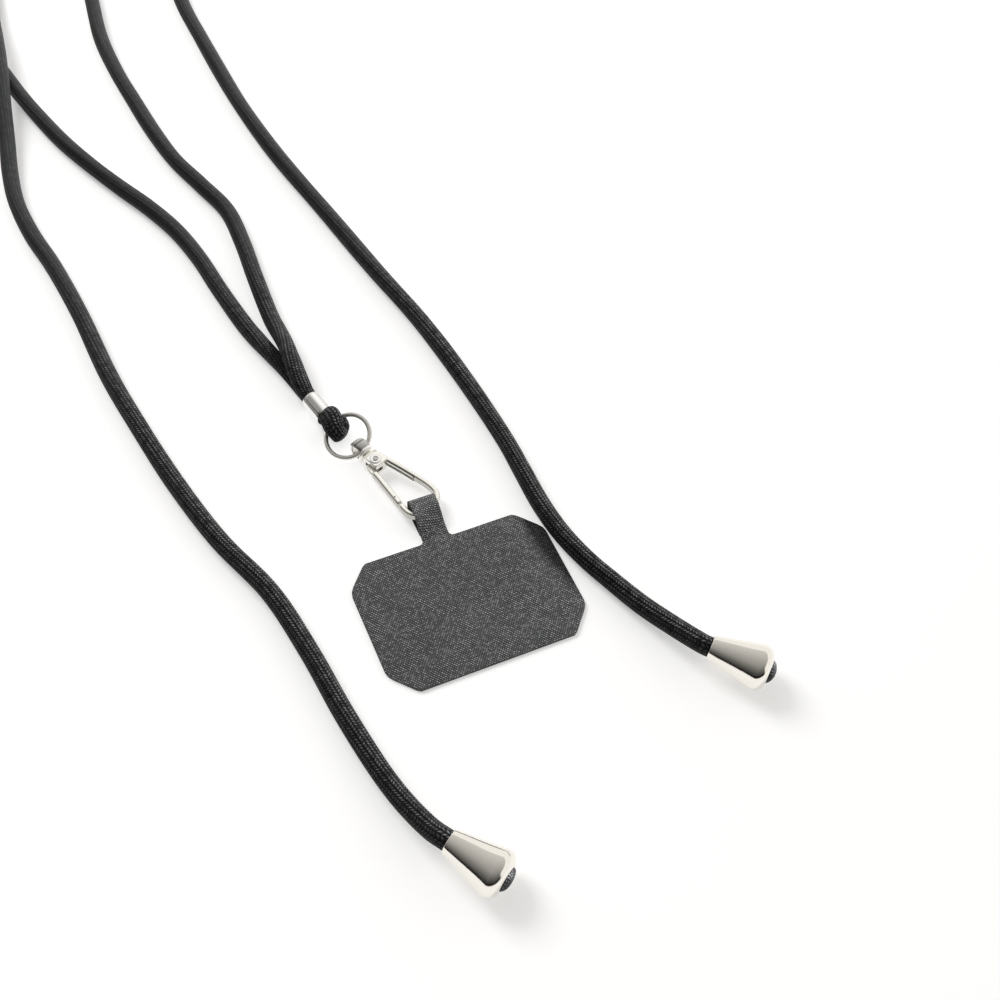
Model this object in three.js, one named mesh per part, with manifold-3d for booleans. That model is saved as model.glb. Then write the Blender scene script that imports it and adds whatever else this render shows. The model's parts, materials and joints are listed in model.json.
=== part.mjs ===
import * as THREE from 'three';
import { mergeVertices } from 'three/addons/utils/BufferGeometryUtils.js';
import Module from 'manifold-3d';

// A phone strap laid out on a table, in millimetres with +Z up. A fabric patch sits at the origin with its
// tab towards +Y. The tab holds a swivel hook, the hook's eye holds a ring, and the ring holds the folded
// middle of one braided cord, crimped in a ferrule. Each half of the cord ends in a metal cone.
//
// Every metal piece has a frame of its own: X to its right, Y away from the patch, Z up.

const wasm = await Module();
wasm.setup();

const degrees = THREE.MathUtils.degToRad;

// Clearances
const GAP = 0.3;
const SEAT_GAP = 0.12;
const CUT_MARGIN = 1;

// Fabric patch
const PATCH_WIDTH = 60;
const PATCH_LENGTH = 43.9;
const CORNER_CUT_X = 6.7;
const CORNER_CUT_Y = 7.6;
const CORNER_ROUNDING = 1.2;
const FABRIC = 0.9;
const TAB_LEFT = -4.7;
const TAB_RIGHT = 3.4;
const TAB_LENGTH = 13.6;
const TAB_FILLET = 1.4;
const TAB_FOLD_RADIUS = 1.6;
const FOLD_SLACK = 0.55;
const BAR_RISE = 4.4;

// Swivel hook
const HOOK_YAW = degrees(21.5);
const HOOK_SIDE_OFFSET = 0.85;
const HOOK_HEIGHT = 3.3;
const HOOK_LENGTH = 23.2;
const HOOK_HALF_WIDTH = 5.7;
const ARM_WIDTH = 1.8;
const ARM_HEIGHT = 2.8;
const ARM_ROUNDING = 0.6;
const BLOCK_WIDTH = 4.8;
const BLOCK_TOP = 3.8;
const BLOCK_BOTTOM = 2.4;
const BLOCK_HEIGHT = 4.2;
const BLOCK_ROUNDING = 0.8;
const SLOT_HEIGHT = 2.2;
const SLOT_SIDE_WALL = 0.8;

// Gate and its rivet
const HUB_RADIUS = 1.6;
const RIVET_RADIUS = 0.8;
const RIVET_HEAD_RADIUS = 1.4;
const RIVET_HEAD_HEIGHT = 0.55;
const RIVET_SIDE = -0.35;
const GATE_WIDTH = 1.6;

// Swivel eye
const SHAFT_RADIUS = 0.95;
const SHAFT_HEAD_RADIUS = 1.45;
const SHAFT_HEAD_LENGTH = 0.5;
const BLOCK_TOP_WALL = 0.7;
const FLANGE_RADIUS = 3.1;
const FLANGE_THICKNESS = 0.6;
const EYE_WALL = 0.95;
const EYE_HOLE_RADIUS = 2.2;
const EYE_WIDTH = 4.2;
const EYE_FLOOR = 0.3;
const WIRE_IN_EYE = 0.85;

// Ring, leaning with its right side raised
const LEAN = degrees(24);
const RING_RADIUS = 7;
const WIRE_RADIUS = 0.65;
const RING_YAW = degrees(19.6);
const RING_SLOPE = degrees(5);
const RING_FOLD_TURN = degrees(6.4);

// Cord, its fold round the ring and the ferrule
const CORD_DIAMETER = 5.6;
const CORD_SIDES = 10;
const CORD_STEP = 12;
const CORD_LIFT = 0.1;
const CORD_GAP = 0.9;
const FOLD_YAW = degrees(11.5);
const FOLD_SIDES = 12;
const FOLD_WIDTH = 7.4;
const FOLD_THICKNESS = 2.8;
const FOLD_REACH = 7.2;
const FERRULE_LENGTH = 9;
const FERRULE_RADIUS = 3.15;
const FERRULE_WALL = 0.35;
const FERRULE_TO_WIRE = 3.9;
const FERRULE_LIFT = 0.2;
const CRIMPED_WIDTH = 4;
const CRIMPED_THICKNESS = 2;

// End cones and knots
const CONE_LENGTH = 16.7;
const CONE_BELLY = 13.4;
const CONE_SMALL_RADIUS = 3.45;
const CONE_LEAD = 1.6;
const CONE_LARGE_RADIUS = 6.6;
const CONE_HOLE_RADIUS = 3.6;
const CONE_LIP_WALL = 0.25;
const CONE_WALL = 0.8;
const CONE_SLOPE = degrees(4);
const CONE_LIFT = 0.1;
const KNOT_LENGTH = 8.2;
const KNOT_RADIUS = 4.5;
const KNOT_BULGE = 1.3;

// Cord routes on the table, chosen by hand: x, y and, where the cord passes over itself, the lift as a share
// of one cord's thickness. Each starts where the two strands part and ends at its cone's mouth.
const LEFT_ROUTE = [
  [-27.2, 122], [-30.4, 142], [-32.5, 158.3], [-36.1, 174.4], [-41.8, 189.4], [-48.6, 203.7],
  [-55.3, 219], [-61.5, 235.3], [-66.6, 253], [-70.5, 269], [-74, 286], [-78, 301],
  [-83, 318], [-88, 334], [-91.5, 349], [-88, 363.5], [-78, 370], [-69, 363.5], [-66.5, 350],
  [-68.5, 333, 0.1], [-70.8, 316, 0.4], [-72, 301, 0.8], [-73.2, 287, 1.03], [-74.8, 274, 1.02],
  [-77.2, 259, 0.72], [-80, 241, 0.33], [-82.6, 224, 0.08], [-83.6, 208.4], [-82, 190.2],
  [-78.8, 173.2], [-75.6, 148.5], [-73.1, 117], [-69.9, 95.2], [-65.1, 68.3], [-59, 43.7],
  [-51, 21.7], [-47, -0.7], [-44.5, -22.1], [-41.2, -42.5, 0.14], [-38.8, -52.6, 0.37],
  [-35.7, -61.6, 0.66],
];
const RIGHT_ROUTE = [
  [-18.5, 122], [-17.7, 143.2], [-16.7, 160.5], [-17, 178.2], [-21.6, 194.3], [-26.6, 210.7],
  [-29.7, 229.3], [-31.8, 249.4], [-33.6, 270.5], [-34, 293.2], [-31.6, 317.7], [-29.4, 338],
  [-28, 357], [-22.5, 371], [-12, 376.5], [-1, 371], [4.5, 357], [4.6, 338], [3, 320],
  [1.9, 301.7], [2.5, 278.6], [3.3, 256.6], [4.4, 235.8], [6.3, 216.2], [8.8, 197.8],
  [15, 163.8], [20.7, 132.1], [26.5, 102.7], [30, 74.3], [31.9, 47.2], [31.9, 34], [31.9, 21.3],
  [33.1, 9.4], [35.8, -1.6], [39.5, -11.6], [43.2, -21.8, 0.14], [47.4, -32, 0.44],
];
const LEFT_CONE_MOUTH = [-33, -66.4];
const LEFT_CONE_YAW = degrees(34);
const RIGHT_CONE_MOUTH = [52.9, -43.1];
const RIGHT_CONE_YAW = degrees(43.3);

// Solids: joined and cut pieces

function toSolid(geometry) {
  const bare = geometry.clone();
  bare.deleteAttribute('normal');
  bare.deleteAttribute('uv');
  const merged = mergeVertices(bare, 1e-4);
  const mesh = new wasm.Mesh({
    numProp: 3,
    vertProperties: new Float32Array(merged.attributes.position.array),
    triVerts: new Uint32Array(merged.index.array),
  });
  return new wasm.Manifold(mesh);
}

function toGeometry(solid) {
  const mesh = solid.getMesh();
  const geometry = new THREE.BufferGeometry();
  geometry.setAttribute('position', new THREE.BufferAttribute(new Float32Array(mesh.vertProperties), 3));
  geometry.setIndex(new THREE.BufferAttribute(new Uint32Array(mesh.triVerts), 1));
  geometry.computeVertexNormals();
  return geometry;
}

function joined(...geometries) {
  return geometries.map(toSolid).reduce((whole, next) => whole.add(next));
}

function cut(solid, ...geometries) {
  return geometries.map(toSolid).reduce((rest, tool) => rest.subtract(tool), solid);
}

// Closed body through a row of sections that each hold the same number of points.
function loft(sections) {
  const sides = sections[0].length;
  const positions = sections.flat().flatMap((point) => [point.x, point.y, point.z]);
  const triangles = [];
  for (let row = 0; row + 1 < sections.length; row += 1) {
    for (let side = 0; side < sides; side += 1) {
      const a = row * sides + side;
      const b = row * sides + ((side + 1) % sides);
      triangles.push(a, b, b + sides, a, b + sides, a + sides);
    }
  }
  const last = (sections.length - 1) * sides;
  for (let side = 1; side + 1 < sides; side += 1) {
    triangles.push(0, side + 1, side, last, last + side, last + side + 1);
  }
  const geometry = new THREE.BufferGeometry();
  geometry.setAttribute('position', new THREE.Float32BufferAttribute(positions, 3));
  geometry.setIndex(triangles);
  geometry.computeVertexNormals();
  return geometry;
}

// Primitives in a piece's own frame

function box(x0, x1, y0, y1, z0, z1) {
  const geometry = new THREE.BoxGeometry(x1 - x0, y1 - y0, z1 - z0);
  geometry.translate((x0 + x1) / 2, (y0 + y1) / 2, (z0 + z1) / 2);
  return geometry;
}

function cylinderAlongY(radius, y0, y1, sides = 24) {
  const geometry = new THREE.CylinderGeometry(radius, radius, y1 - y0, sides);
  geometry.translate(0, (y0 + y1) / 2, 0);
  return geometry;
}

function cylinderAlongZ(radius, x, y, z0, z1, sides = 24) {
  const geometry = new THREE.CylinderGeometry(radius, radius, z1 - z0, sides);
  geometry.rotateX(Math.PI / 2);
  geometry.translate(x, y, (z0 + z1) / 2);
  return geometry;
}

function plate(shape, z0, z1) {
  const geometry = new THREE.ExtrudeGeometry(shape, { depth: z1 - z0, bevelEnabled: false, curveSegments: 5 });
  geometry.translate(0, 0, z0);
  return geometry;
}

// Polygon whose corners are each rounded by up to the given length along both edges.
function roundedShape(corners, rounding) {
  const points = corners.map(([x, y]) => new THREE.Vector2(x, y));
  const shape = new THREE.Shape();
  points.forEach((corner, index) => {
    const before = points[(index + points.length - 1) % points.length];
    const after = points[(index + 1) % points.length];
    const back = Math.min(rounding, corner.distanceTo(before) * 0.45);
    const ahead = Math.min(rounding, corner.distanceTo(after) * 0.45);
    const start = corner.clone().lerp(before, back / corner.distanceTo(before));
    const end = corner.clone().lerp(after, ahead / corner.distanceTo(after));
    if (index === 0) {
      shape.moveTo(start.x, start.y);
    } else {
      shape.lineTo(start.x, start.y);
    }
    shape.quadraticCurveTo(corner.x, corner.y, end.x, end.y);
  });
  shape.closePath();
  return shape;
}

function rectangleCorners(x0, x1, y0, y1) {
  return [[x0, y0], [x1, y0], [x1, y1], [x0, y1]];
}

// Frames of the metal pieces. Yaw turns about Z, pitch raises the Y end and lean raises the X side.

function frame(origin, yaw, pitch = 0, lean = 0) {
  const turn = new THREE.Quaternion().setFromEuler(new THREE.Euler(pitch, -lean, yaw, 'ZXY'));
  return new THREE.Matrix4().compose(origin, turn, new THREE.Vector3(1, 1, 1));
}

function inFrame(matrix, x, y, z) {
  return new THREE.Vector3(x, y, z).applyMatrix4(matrix);
}

const tabEnd = PATCH_LENGTH / 2 + TAB_LENGTH;
const barAtTabMiddle = tabEnd - FABRIC - FOLD_SLACK - ARM_WIDTH / 2 / Math.cos(HOOK_YAW)
  - BAR_RISE * Math.tan(HOOK_YAW);
const hookOrigin = new THREE.Vector3(
  HOOK_SIDE_OFFSET - HOOK_LENGTH * Math.sin(HOOK_YAW),
  barAtTabMiddle + HOOK_SIDE_OFFSET * Math.tan(HOOK_YAW) + HOOK_LENGTH * Math.cos(HOOK_YAW),
  HOOK_HEIGHT,
);
const hookFrame = frame(hookOrigin, HOOK_YAW);

const flangeStart = BLOCK_TOP + GAP;
const flangeEnd = flangeStart + FLANGE_THICKNESS;
const eyeCentre = flangeEnd + EYE_FLOOR + EYE_HOLE_RADIUS;

const wireInEye = inFrame(hookFrame, 0, eyeCentre - WIRE_IN_EYE, 0);
const ringOrigin = inFrame(frame(wireInEye, RING_YAW, RING_SLOPE, LEAN), 0, RING_RADIUS, 0);
const ringFrame = frame(ringOrigin, RING_YAW, RING_SLOPE, LEAN);

const wireInFold = inFrame(ringFrame, -RING_RADIUS * Math.sin(RING_FOLD_TURN),
  RING_RADIUS * Math.cos(RING_FOLD_TURN), 0);
const ferruleHeight = FERRULE_RADIUS + FERRULE_LIFT;
const foldPitch = -Math.asin((wireInFold.z - ferruleHeight) / (FERRULE_TO_WIRE + FERRULE_LENGTH));
const foldFrame = frame(wireInFold, FOLD_YAW, foldPitch, LEAN);

// Patch

function patchOutline() {
  const x = PATCH_WIDTH / 2;
  const y = PATCH_LENGTH / 2;
  const corners = [];
  for (const [sideX, sideY] of [[1, -1], [1, 1], [-1, 1], [-1, -1]]) {
    const onSide = [sideX * x, sideY * (y - CORNER_CUT_Y)];
    const onEnd = [sideX * (x - CORNER_CUT_X), sideY * y];
    corners.push(...(sideX === sideY ? [onSide, onEnd] : [onEnd, onSide]));
  }
  return roundedShape(corners, CORNER_ROUNDING);
}

// The tab's root, wider by a fillet where it leaves the patch.
function tabRootOutline() {
  const edge = PATCH_LENGTH / 2;
  const shape = new THREE.Shape();
  shape.moveTo(TAB_LEFT - TAB_FILLET, edge - FABRIC);
  shape.lineTo(TAB_RIGHT + TAB_FILLET, edge - FABRIC);
  shape.lineTo(TAB_RIGHT + TAB_FILLET, edge);
  shape.quadraticCurveTo(TAB_RIGHT, edge, TAB_RIGHT, edge + TAB_FILLET);
  shape.lineTo(TAB_LEFT, edge + TAB_FILLET);
  shape.quadraticCurveTo(TAB_LEFT, edge, TAB_LEFT - TAB_FILLET, edge);
  shape.closePath();
  return shape;
}

// Height of the loop that the tab makes round the hook's bar, and the place where its fold starts.
const loopInside = HOOK_HEIGHT + ARM_HEIGHT / 2 + GAP;
const foldStart = tabEnd - TAB_FOLD_RADIUS - FABRIC / 2;

// Middle of the fabric along one edge of the tab, as places along the strap and heights: it rises from the
// patch, passes over the bar, which crosses the tab at an angle, folds down and comes back underneath.
function tabEdge(x) {
  const root = PATCH_LENGTH / 2;
  const bar = barAtTabMiddle + x * Math.tan(HOOK_YAW);
  const shoulder = bar - ARM_WIDTH / 2 / Math.cos(HOOK_YAW) - GAP;
  const mouth = (root + shoulder) / 2;
  const low = FABRIC / 2;
  const points = [
    [root - FABRIC, low], [root + TAB_FILLET * 0.4, low], [mouth - FABRIC, FABRIC * 1.2], [mouth, FABRIC * 1.6],
    [shoulder - FABRIC * 0.4, loopInside - FABRIC * 0.1],
    [Math.min(shoulder + FABRIC, foldStart - FABRIC * 0.2), loopInside + low],
  ];
  const bends = 8;
  for (let bend = 0; bend <= bends; bend += 1) {
    const angle = Math.PI / 2 - bend / bends * Math.PI;
    const middle = bend * 2 < bends ? loopInside - TAB_FOLD_RADIUS : TAB_FOLD_RADIUS;
    points.push([foldStart + Math.cos(angle) * TAB_FOLD_RADIUS, middle + low + Math.sin(angle) * TAB_FOLD_RADIUS]);
  }
  points.push([mouth - FABRIC * 0.6, low]);
  return points;
}

function tabGeometry() {
  const edges = [TAB_LEFT, TAB_RIGHT].map(tabEdge);
  const sections = edges[0].map((_, index) => {
    const [left, right] = edges.map((edge) => {
      const before = edge[Math.max(0, index - 1)];
      const after = edge[Math.min(edge.length - 1, index + 1)];
      const run = new THREE.Vector2(after[0] - before[0], after[1] - before[1]).normalize();
      return { y: edge[index][0], z: edge[index][1], run };
    });
    const corner = (x, { y, z, run }, face) =>
      new THREE.Vector3(x, y - face * run.y * FABRIC / 2, z + face * run.x * FABRIC / 2);
    return [corner(TAB_LEFT, left, -1), corner(TAB_LEFT, left, 1), corner(TAB_RIGHT, right, 1),
      corner(TAB_RIGHT, right, -1)];
  });
  return loft(sections);
}

function patchGeometry() {
  return toGeometry(joined(plate(patchOutline(), 0, FABRIC), plate(tabRootOutline(), 0, FABRIC),
    tabGeometry()));
}

// Hook

// Centre line of the hook's open frame: shares of the half width and of the length, from the right side of
// the block, down the right arm, across the bar and up to the tip of the nose.
const HOOK_LINE = [
  { side: 0.46, along: -0.02 },
  { side: 0.66, along: -0.26 },
  { side: 0.82, along: -0.49 },
  { side: 0.94, along: -0.7 },
  { side: 0.95, along: -0.8 },
  { side: 0.89, along: -0.89 },
  { side: 0.7, along: -0.965 },
  { side: 0.35, along: -1 },
  { side: -0.45, along: -1 },
  { side: -0.86, along: -0.965 },
  { side: -1.04, along: -0.88 },
  { side: -1, along: -0.72 },
];

function armSection(height, width) {
  return roundedShape(rectangleCorners(-height / 2, height / 2, -width / 2, width / 2), ARM_ROUNDING);
}

function hookFrameBar() {
  const points = HOOK_LINE.map(({ side, along }) =>
    new THREE.Vector3(side * HOOK_HALF_WIDTH, along * HOOK_LENGTH, 0));
  const path = new THREE.CatmullRomCurve3(points, false, 'centripetal');
  return new THREE.ExtrudeGeometry(armSection(ARM_HEIGHT, ARM_WIDTH), {
    steps: 36, extrudePath: path, bevelEnabled: false, curveSegments: 2,
  });
}

const slotTop = HUB_RADIUS + GAP * 2;
const cavityTop = BLOCK_TOP - BLOCK_TOP_WALL;
const counterbore = RIVET_HEAD_HEIGHT - SEAT_GAP;

function hookGeometry() {
  const half = BLOCK_HEIGHT / 2;
  const side = BLOCK_WIDTH / 2;
  const block = plate(roundedShape(rectangleCorners(-side, side, -BLOCK_BOTTOM, BLOCK_TOP), BLOCK_ROUNDING),
    -half, half);
  const body = joined(block, hookFrameBar());
  const slot = box(-HOOK_HALF_WIDTH, side - SLOT_SIDE_WALL, -BLOCK_BOTTOM - CUT_MARGIN, slotTop,
    -SLOT_HEIGHT / 2, SLOT_HEIGHT / 2);
  const cavityRadius = SHAFT_HEAD_RADIUS + GAP;
  const cavity = cylinderAlongY(cavityRadius, cavityTop - SHAFT_HEAD_LENGTH - GAP * 2, cavityTop);
  const shaftBore = cylinderAlongY(SHAFT_RADIUS + GAP, cavityTop - GAP, BLOCK_TOP + CUT_MARGIN);
  const rivetBore = cylinderAlongZ(RIVET_RADIUS + GAP, RIVET_SIDE, 0, -half - CUT_MARGIN, half + CUT_MARGIN);
  const upperSeat = cylinderAlongZ(RIVET_HEAD_RADIUS + GAP, RIVET_SIDE, 0, half - counterbore,
    half + CUT_MARGIN);
  const lowerSeat = cylinderAlongZ(RIVET_HEAD_RADIUS + GAP, RIVET_SIDE, 0, -half - CUT_MARGIN,
    counterbore - half);
  return toGeometry(cut(body, slot, cavity, shaftBore, rivetBore, upperSeat, lowerSeat));
}

function rivetGeometry() {
  const seat = BLOCK_HEIGHT / 2 - counterbore + SEAT_GAP;
  const top = seat + RIVET_HEAD_HEIGHT;
  const crown = RIVET_HEAD_RADIUS * 0.75;
  const profile = [
    [0, -top], [crown, -top], [RIVET_HEAD_RADIUS, -seat - RIVET_HEAD_HEIGHT / 2], [RIVET_HEAD_RADIUS, -seat],
    [RIVET_RADIUS, -seat], [RIVET_RADIUS, seat], [RIVET_HEAD_RADIUS, seat],
    [RIVET_HEAD_RADIUS, seat + RIVET_HEAD_HEIGHT / 2], [crown, top], [0, top],
  ].map(([radius, height]) => new THREE.Vector2(radius, height));
  const geometry = new THREE.LatheGeometry(profile, 24);
  geometry.rotateX(Math.PI / 2);
  geometry.translate(RIVET_SIDE, 0, 0);
  return geometry;
}

// The gate: a thin hub and neck that fit the block's slot, and a full-height arm that meets the nose.
function gateGeometry() {
  const nose = HOOK_LINE[HOOK_LINE.length - 1];
  const tip = new THREE.Vector2(nose.side * HOOK_HALF_WIDTH, nose.along * HOOK_LENGTH + GAP);
  const shoulder = new THREE.Vector2(-BLOCK_WIDTH / 2 - GATE_WIDTH * 0.6, -BLOCK_BOTTOM - GAP);
  const direction = tip.clone().sub(shoulder);
  const armLength = direction.length();
  const arm = new THREE.ExtrudeGeometry(armSection(ARM_HEIGHT, GATE_WIDTH), {
    depth: armLength, bevelEnabled: false, curveSegments: 2,
  });
  arm.rotateY(Math.PI / 2);
  arm.rotateX(Math.PI / 2);
  arm.rotateZ(Math.atan2(direction.y, direction.x));
  arm.translate(shoulder.x, shoulder.y, 0);
  const thin = SLOT_HEIGHT / 2 - GAP;
  const outer = shoulder.x - GATE_WIDTH * 0.4;
  const inner = shoulder.x + GATE_WIDTH * 0.4;
  const neck = plate(roundedShape([
    [RIVET_SIDE, HUB_RADIUS], [shoulder.x + GATE_WIDTH * 0.3, HUB_RADIUS * 0.5], [outer, -HUB_RADIUS],
    [outer, shoulder.y - GATE_WIDTH / 2], [inner, shoulder.y - GATE_WIDTH / 2],
    [inner + GATE_WIDTH * 0.4, -BLOCK_BOTTOM * 0.8], [RIVET_SIDE, -HUB_RADIUS],
  ], ARM_ROUNDING), -thin, thin);
  const hub = cylinderAlongZ(HUB_RADIUS, RIVET_SIDE, 0, -thin, thin);
  const bore = cylinderAlongZ(RIVET_RADIUS + GAP, RIVET_SIDE, 0, -SLOT_HEIGHT, SLOT_HEIGHT);
  return toGeometry(cut(joined(arm, neck, hub), bore));
}

// Swivel eye: a bowed band with a hole for the ring, a flange, and a headed shaft held in the block.
function eyeGeometry() {
  const outer = EYE_HOLE_RADIUS + EYE_WALL;
  const shape = new THREE.Shape();
  shape.moveTo(flangeEnd - FLANGE_THICKNESS / 2, -outer * 0.85);
  shape.lineTo(eyeCentre, -outer);
  shape.absarc(eyeCentre, 0, outer, -Math.PI / 2, Math.PI / 2, false);
  shape.lineTo(flangeEnd - FLANGE_THICKNESS / 2, outer * 0.85);
  shape.closePath();
  const hole = new THREE.Path();
  hole.absarc(eyeCentre, 0, EYE_HOLE_RADIUS, 0, Math.PI * 2, true);
  shape.holes.push(hole);
  const band = new THREE.ExtrudeGeometry(shape, { depth: EYE_WIDTH, bevelEnabled: false, curveSegments: 12 });
  band.translate(0, 0, -EYE_WIDTH / 2);
  band.rotateX(Math.PI / 2);
  band.rotateZ(Math.PI / 2);
  const flange = cylinderAlongY(FLANGE_RADIUS, flangeStart, flangeEnd, 32);
  const headEnd = cavityTop - GAP;
  const shaft = cylinderAlongY(SHAFT_RADIUS, headEnd - SHAFT_HEAD_LENGTH / 2, flangeStart + CUT_MARGIN / 2);
  const head = cylinderAlongY(SHAFT_HEAD_RADIUS, headEnd - SHAFT_HEAD_LENGTH, headEnd);
  return toGeometry(joined(band, flange, shaft, head));
}

function ringGeometry() {
  return new THREE.TorusGeometry(RING_RADIUS, WIRE_RADIUS, 10, 48);
}

function ferruleGeometry() {
  const inner = FERRULE_RADIUS - FERRULE_WALL;
  const lip = FERRULE_WALL / 2;
  const start = FERRULE_TO_WIRE;
  const end = FERRULE_TO_WIRE + FERRULE_LENGTH;
  const profile = [
    [inner, start], [FERRULE_RADIUS - lip, start], [FERRULE_RADIUS, start + lip], [FERRULE_RADIUS, end - lip],
    [FERRULE_RADIUS - lip, end], [inner, end], [inner, start],
  ].map(([radius, height]) => new THREE.Vector2(radius, height));
  return new THREE.LatheGeometry(profile, 32);
}

// Folded middle of the cord

// Stations along one strand in the fold's frame. at is the place along the strap: 2 and 1 are the ferrule's
// upper and lower end, 0 is the ring's wire and -1 the tip of the fold. apart is a share of the strand's
// distance from the middle at the wire, and full runs from crimped (0) to the fold's full section (1).
const FOLD_STATIONS = [
  { at: 2, apart: 0.55, full: 0 },
  { at: 1.5, apart: 0.55, full: 0 },
  { at: 1, apart: 0.55, full: 0.05 },
  { at: 0.78, apart: 0.72, full: 0.55 },
  { at: 0.5, apart: 0.9, full: 0.93 },
  { at: 0, apart: 1, full: 0.95 },
  { at: -0.3, apart: 1.02, full: 1 },
  { at: -0.52, apart: 0.97, full: 1 },
  { at: -0.74, apart: 0.76, full: 1 },
  { at: -0.92, apart: 0.42, full: 0.93 },
];

// Stations between the point where the two strands part (share 0) and the ferrule: the right strand rolls
// onto the left one. turn is a share of the full roll, the others are shares of the cord's diameter.
const PARTING_STATIONS = [
  { share: 0, turn: 0, apart: 0, width: 1, thickness: 1 },
  { share: 0.2, turn: 0.09, apart: 0.63, width: 1, thickness: 1 },
  { share: 0.4, turn: 0.3, apart: 0.51, width: 1.02, thickness: 0.93 },
  { share: 0.6, turn: 0.57, apart: 0.43, width: 1.02, thickness: 0.78 },
  { share: 0.8, turn: 0.83, apart: 0.33, width: 0.93, thickness: 0.57 },
];
const fullRoll = Math.PI / 2 + LEAN;
const foldApart = WIRE_RADIUS + GAP + FOLD_THICKNESS / 2;
const foldTip = FOLD_REACH - FOLD_THICKNESS / 2;
const foldAcross = inFrame(foldFrame, 1, 0, 0).sub(wireInFold);

function foldPlace(at) {
  if (at >= 1) {
    return FERRULE_TO_WIRE + (at - 1) * FERRULE_LENGTH;
  }
  return at * (at > 0 ? FERRULE_TO_WIRE : foldTip);
}

// One strand of the fold: level is 1 for the upper strand and -1 for the lower.
function foldStrand(level) {
  return FOLD_STATIONS.map(({ at, apart, full }) => ({
    centre: inFrame(foldFrame, 0, foldPlace(at), level * apart * foldApart),
    wide: foldAcross,
    width: THREE.MathUtils.lerp(CRIMPED_WIDTH, FOLD_WIDTH, full),
    thickness: THREE.MathUtils.lerp(CRIMPED_THICKNESS, FOLD_THICKNESS, full),
  }));
}

// One strand between the parting point and the ferrule; the lower strand stays on the table.
function partingStrand(level) {
  const up = new THREE.Vector3(0, 0, 1);
  const atFerrule = new THREE.Vector3(Math.cos(FOLD_YAW), Math.sin(FOLD_YAW), 0);
  const left = routePoint(LEFT_ROUTE[0]);
  const right = routePoint(RIGHT_ROUTE[0]);
  const atParting = right.clone().sub(left).normalize();
  const mouth = inFrame(foldFrame, 0, foldPlace(2), 0);
  const parting = left.clone().lerp(right, 0.5);
  const start = parting.lerp(mouth, CORD_GAP / parting.distanceTo(mouth));
  return PARTING_STATIONS.map(({ share, turn, apart, width, thickness }) => {
    const angle = turn * fullRoll;
    const across = atParting.clone().lerp(atFerrule, share).normalize();
    const half = share > 0 ? apart * CORD_DIAMETER : left.distanceTo(right) / 2;
    const stack = across.clone().multiplyScalar(Math.cos(angle)).addScaledVector(up, Math.sin(angle));
    const wide = across.clone().multiplyScalar(Math.sin(angle)).addScaledVector(up, -Math.cos(angle));
    const lowest = Math.hypot(thickness * Math.sin(angle), width * Math.cos(angle)) * CORD_DIAMETER / 2;
    const middle = start.clone().lerp(mouth, share);
    middle.z = half * Math.sin(angle) + lowest;
    return {
      centre: middle.addScaledVector(stack, level * half),
      wide,
      width: width * CORD_DIAMETER,
      thickness: thickness * CORD_DIAMETER,
    };
  });
}

function ovalSection({ centre, wide, width, thickness }, tangent) {
  const flatWide = wide.clone().addScaledVector(tangent, -wide.dot(tangent)).normalize();
  const thick = new THREE.Vector3().crossVectors(tangent, flatWide);
  const points = [];
  for (let side = 0; side < FOLD_SIDES; side += 1) {
    const angle = side / FOLD_SIDES * Math.PI * 2;
    points.push(centre.clone()
      .addScaledVector(flatWide, Math.cos(angle) * width / 2)
      .addScaledVector(thick, Math.sin(angle) * thickness / 2));
  }
  return points;
}

function foldGeometry() {
  const tip = {
    centre: inFrame(foldFrame, 0, foldPlace(-1), 0),
    wide: foldAcross,
    width: FOLD_WIDTH * 0.76,
    thickness: FOLD_THICKNESS,
  };
  const lower = [...partingStrand(-1), ...foldStrand(-1)];
  const upper = [...partingStrand(1), ...foldStrand(1)];
  const rows = [...lower, tip, ...upper.reverse()];
  return loft(rows.map((row, index) => {
    const before = rows[Math.max(0, index - 1)].centre;
    const after = rows[Math.min(rows.length - 1, index + 1)].centre;
    return ovalSection(row, after.clone().sub(before).normalize());
  }));
}

// Cords

function routePoint([x, y, lift = 0]) {
  return new THREE.Vector3(x, y, CORD_DIAMETER / 2 + CORD_LIFT + lift * (CORD_DIAMETER + GAP));
}

// A cone rests on its belly, and the stiff cord props its mouth up a little.
function coneFrame(mouth, yaw) {
  const height = CONE_LIFT + CONE_LARGE_RADIUS * Math.cos(CONE_SLOPE) + CONE_BELLY * Math.sin(CONE_SLOPE);
  return frame(new THREE.Vector3(mouth[0], mouth[1], height), yaw, CONE_SLOPE);
}

const knotStart = CONE_LENGTH + KNOT_BULGE - KNOT_LENGTH;

function cordGeometry(route, cone) {
  const points = route.map(routePoint);
  for (const along of [CONE_LEAD, 0, -CORD_DIAMETER / 2, GAP - knotStart]) {
    points.push(inFrame(cone, 0, along, 0));
  }
  const path = new THREE.CatmullRomCurve3(points, false, 'centripetal');
  const length = path.getLength();
  const section = new THREE.Shape();
  section.absarc(0, 0, CORD_DIAMETER / 2, 0, Math.PI * 2, false);
  return new THREE.ExtrudeGeometry(section, {
    steps: Math.round(length / CORD_STEP), extrudePath: path, bevelEnabled: false,
    curveSegments: CORD_SIDES / 2,
  });
}

// Cones and knots, turned about the cone's axis, with depth counted from the narrow mouth towards -Y

// Points round the cone's rolled-in end, from the belly to the hole, for the outer or the inner side.
function coneEnd(inset) {
  const points = [];
  const steps = 5;
  for (let step = 0; step <= steps; step += 1) {
    const angle = step / steps * Math.PI / 2;
    const radius = CONE_HOLE_RADIUS + (CONE_LARGE_RADIUS - CONE_HOLE_RADIUS - inset) * Math.cos(angle);
    points.push([radius, -CONE_BELLY - (CONE_LENGTH - CONE_BELLY - inset) * Math.sin(angle)]);
  }
  return points;
}

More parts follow.
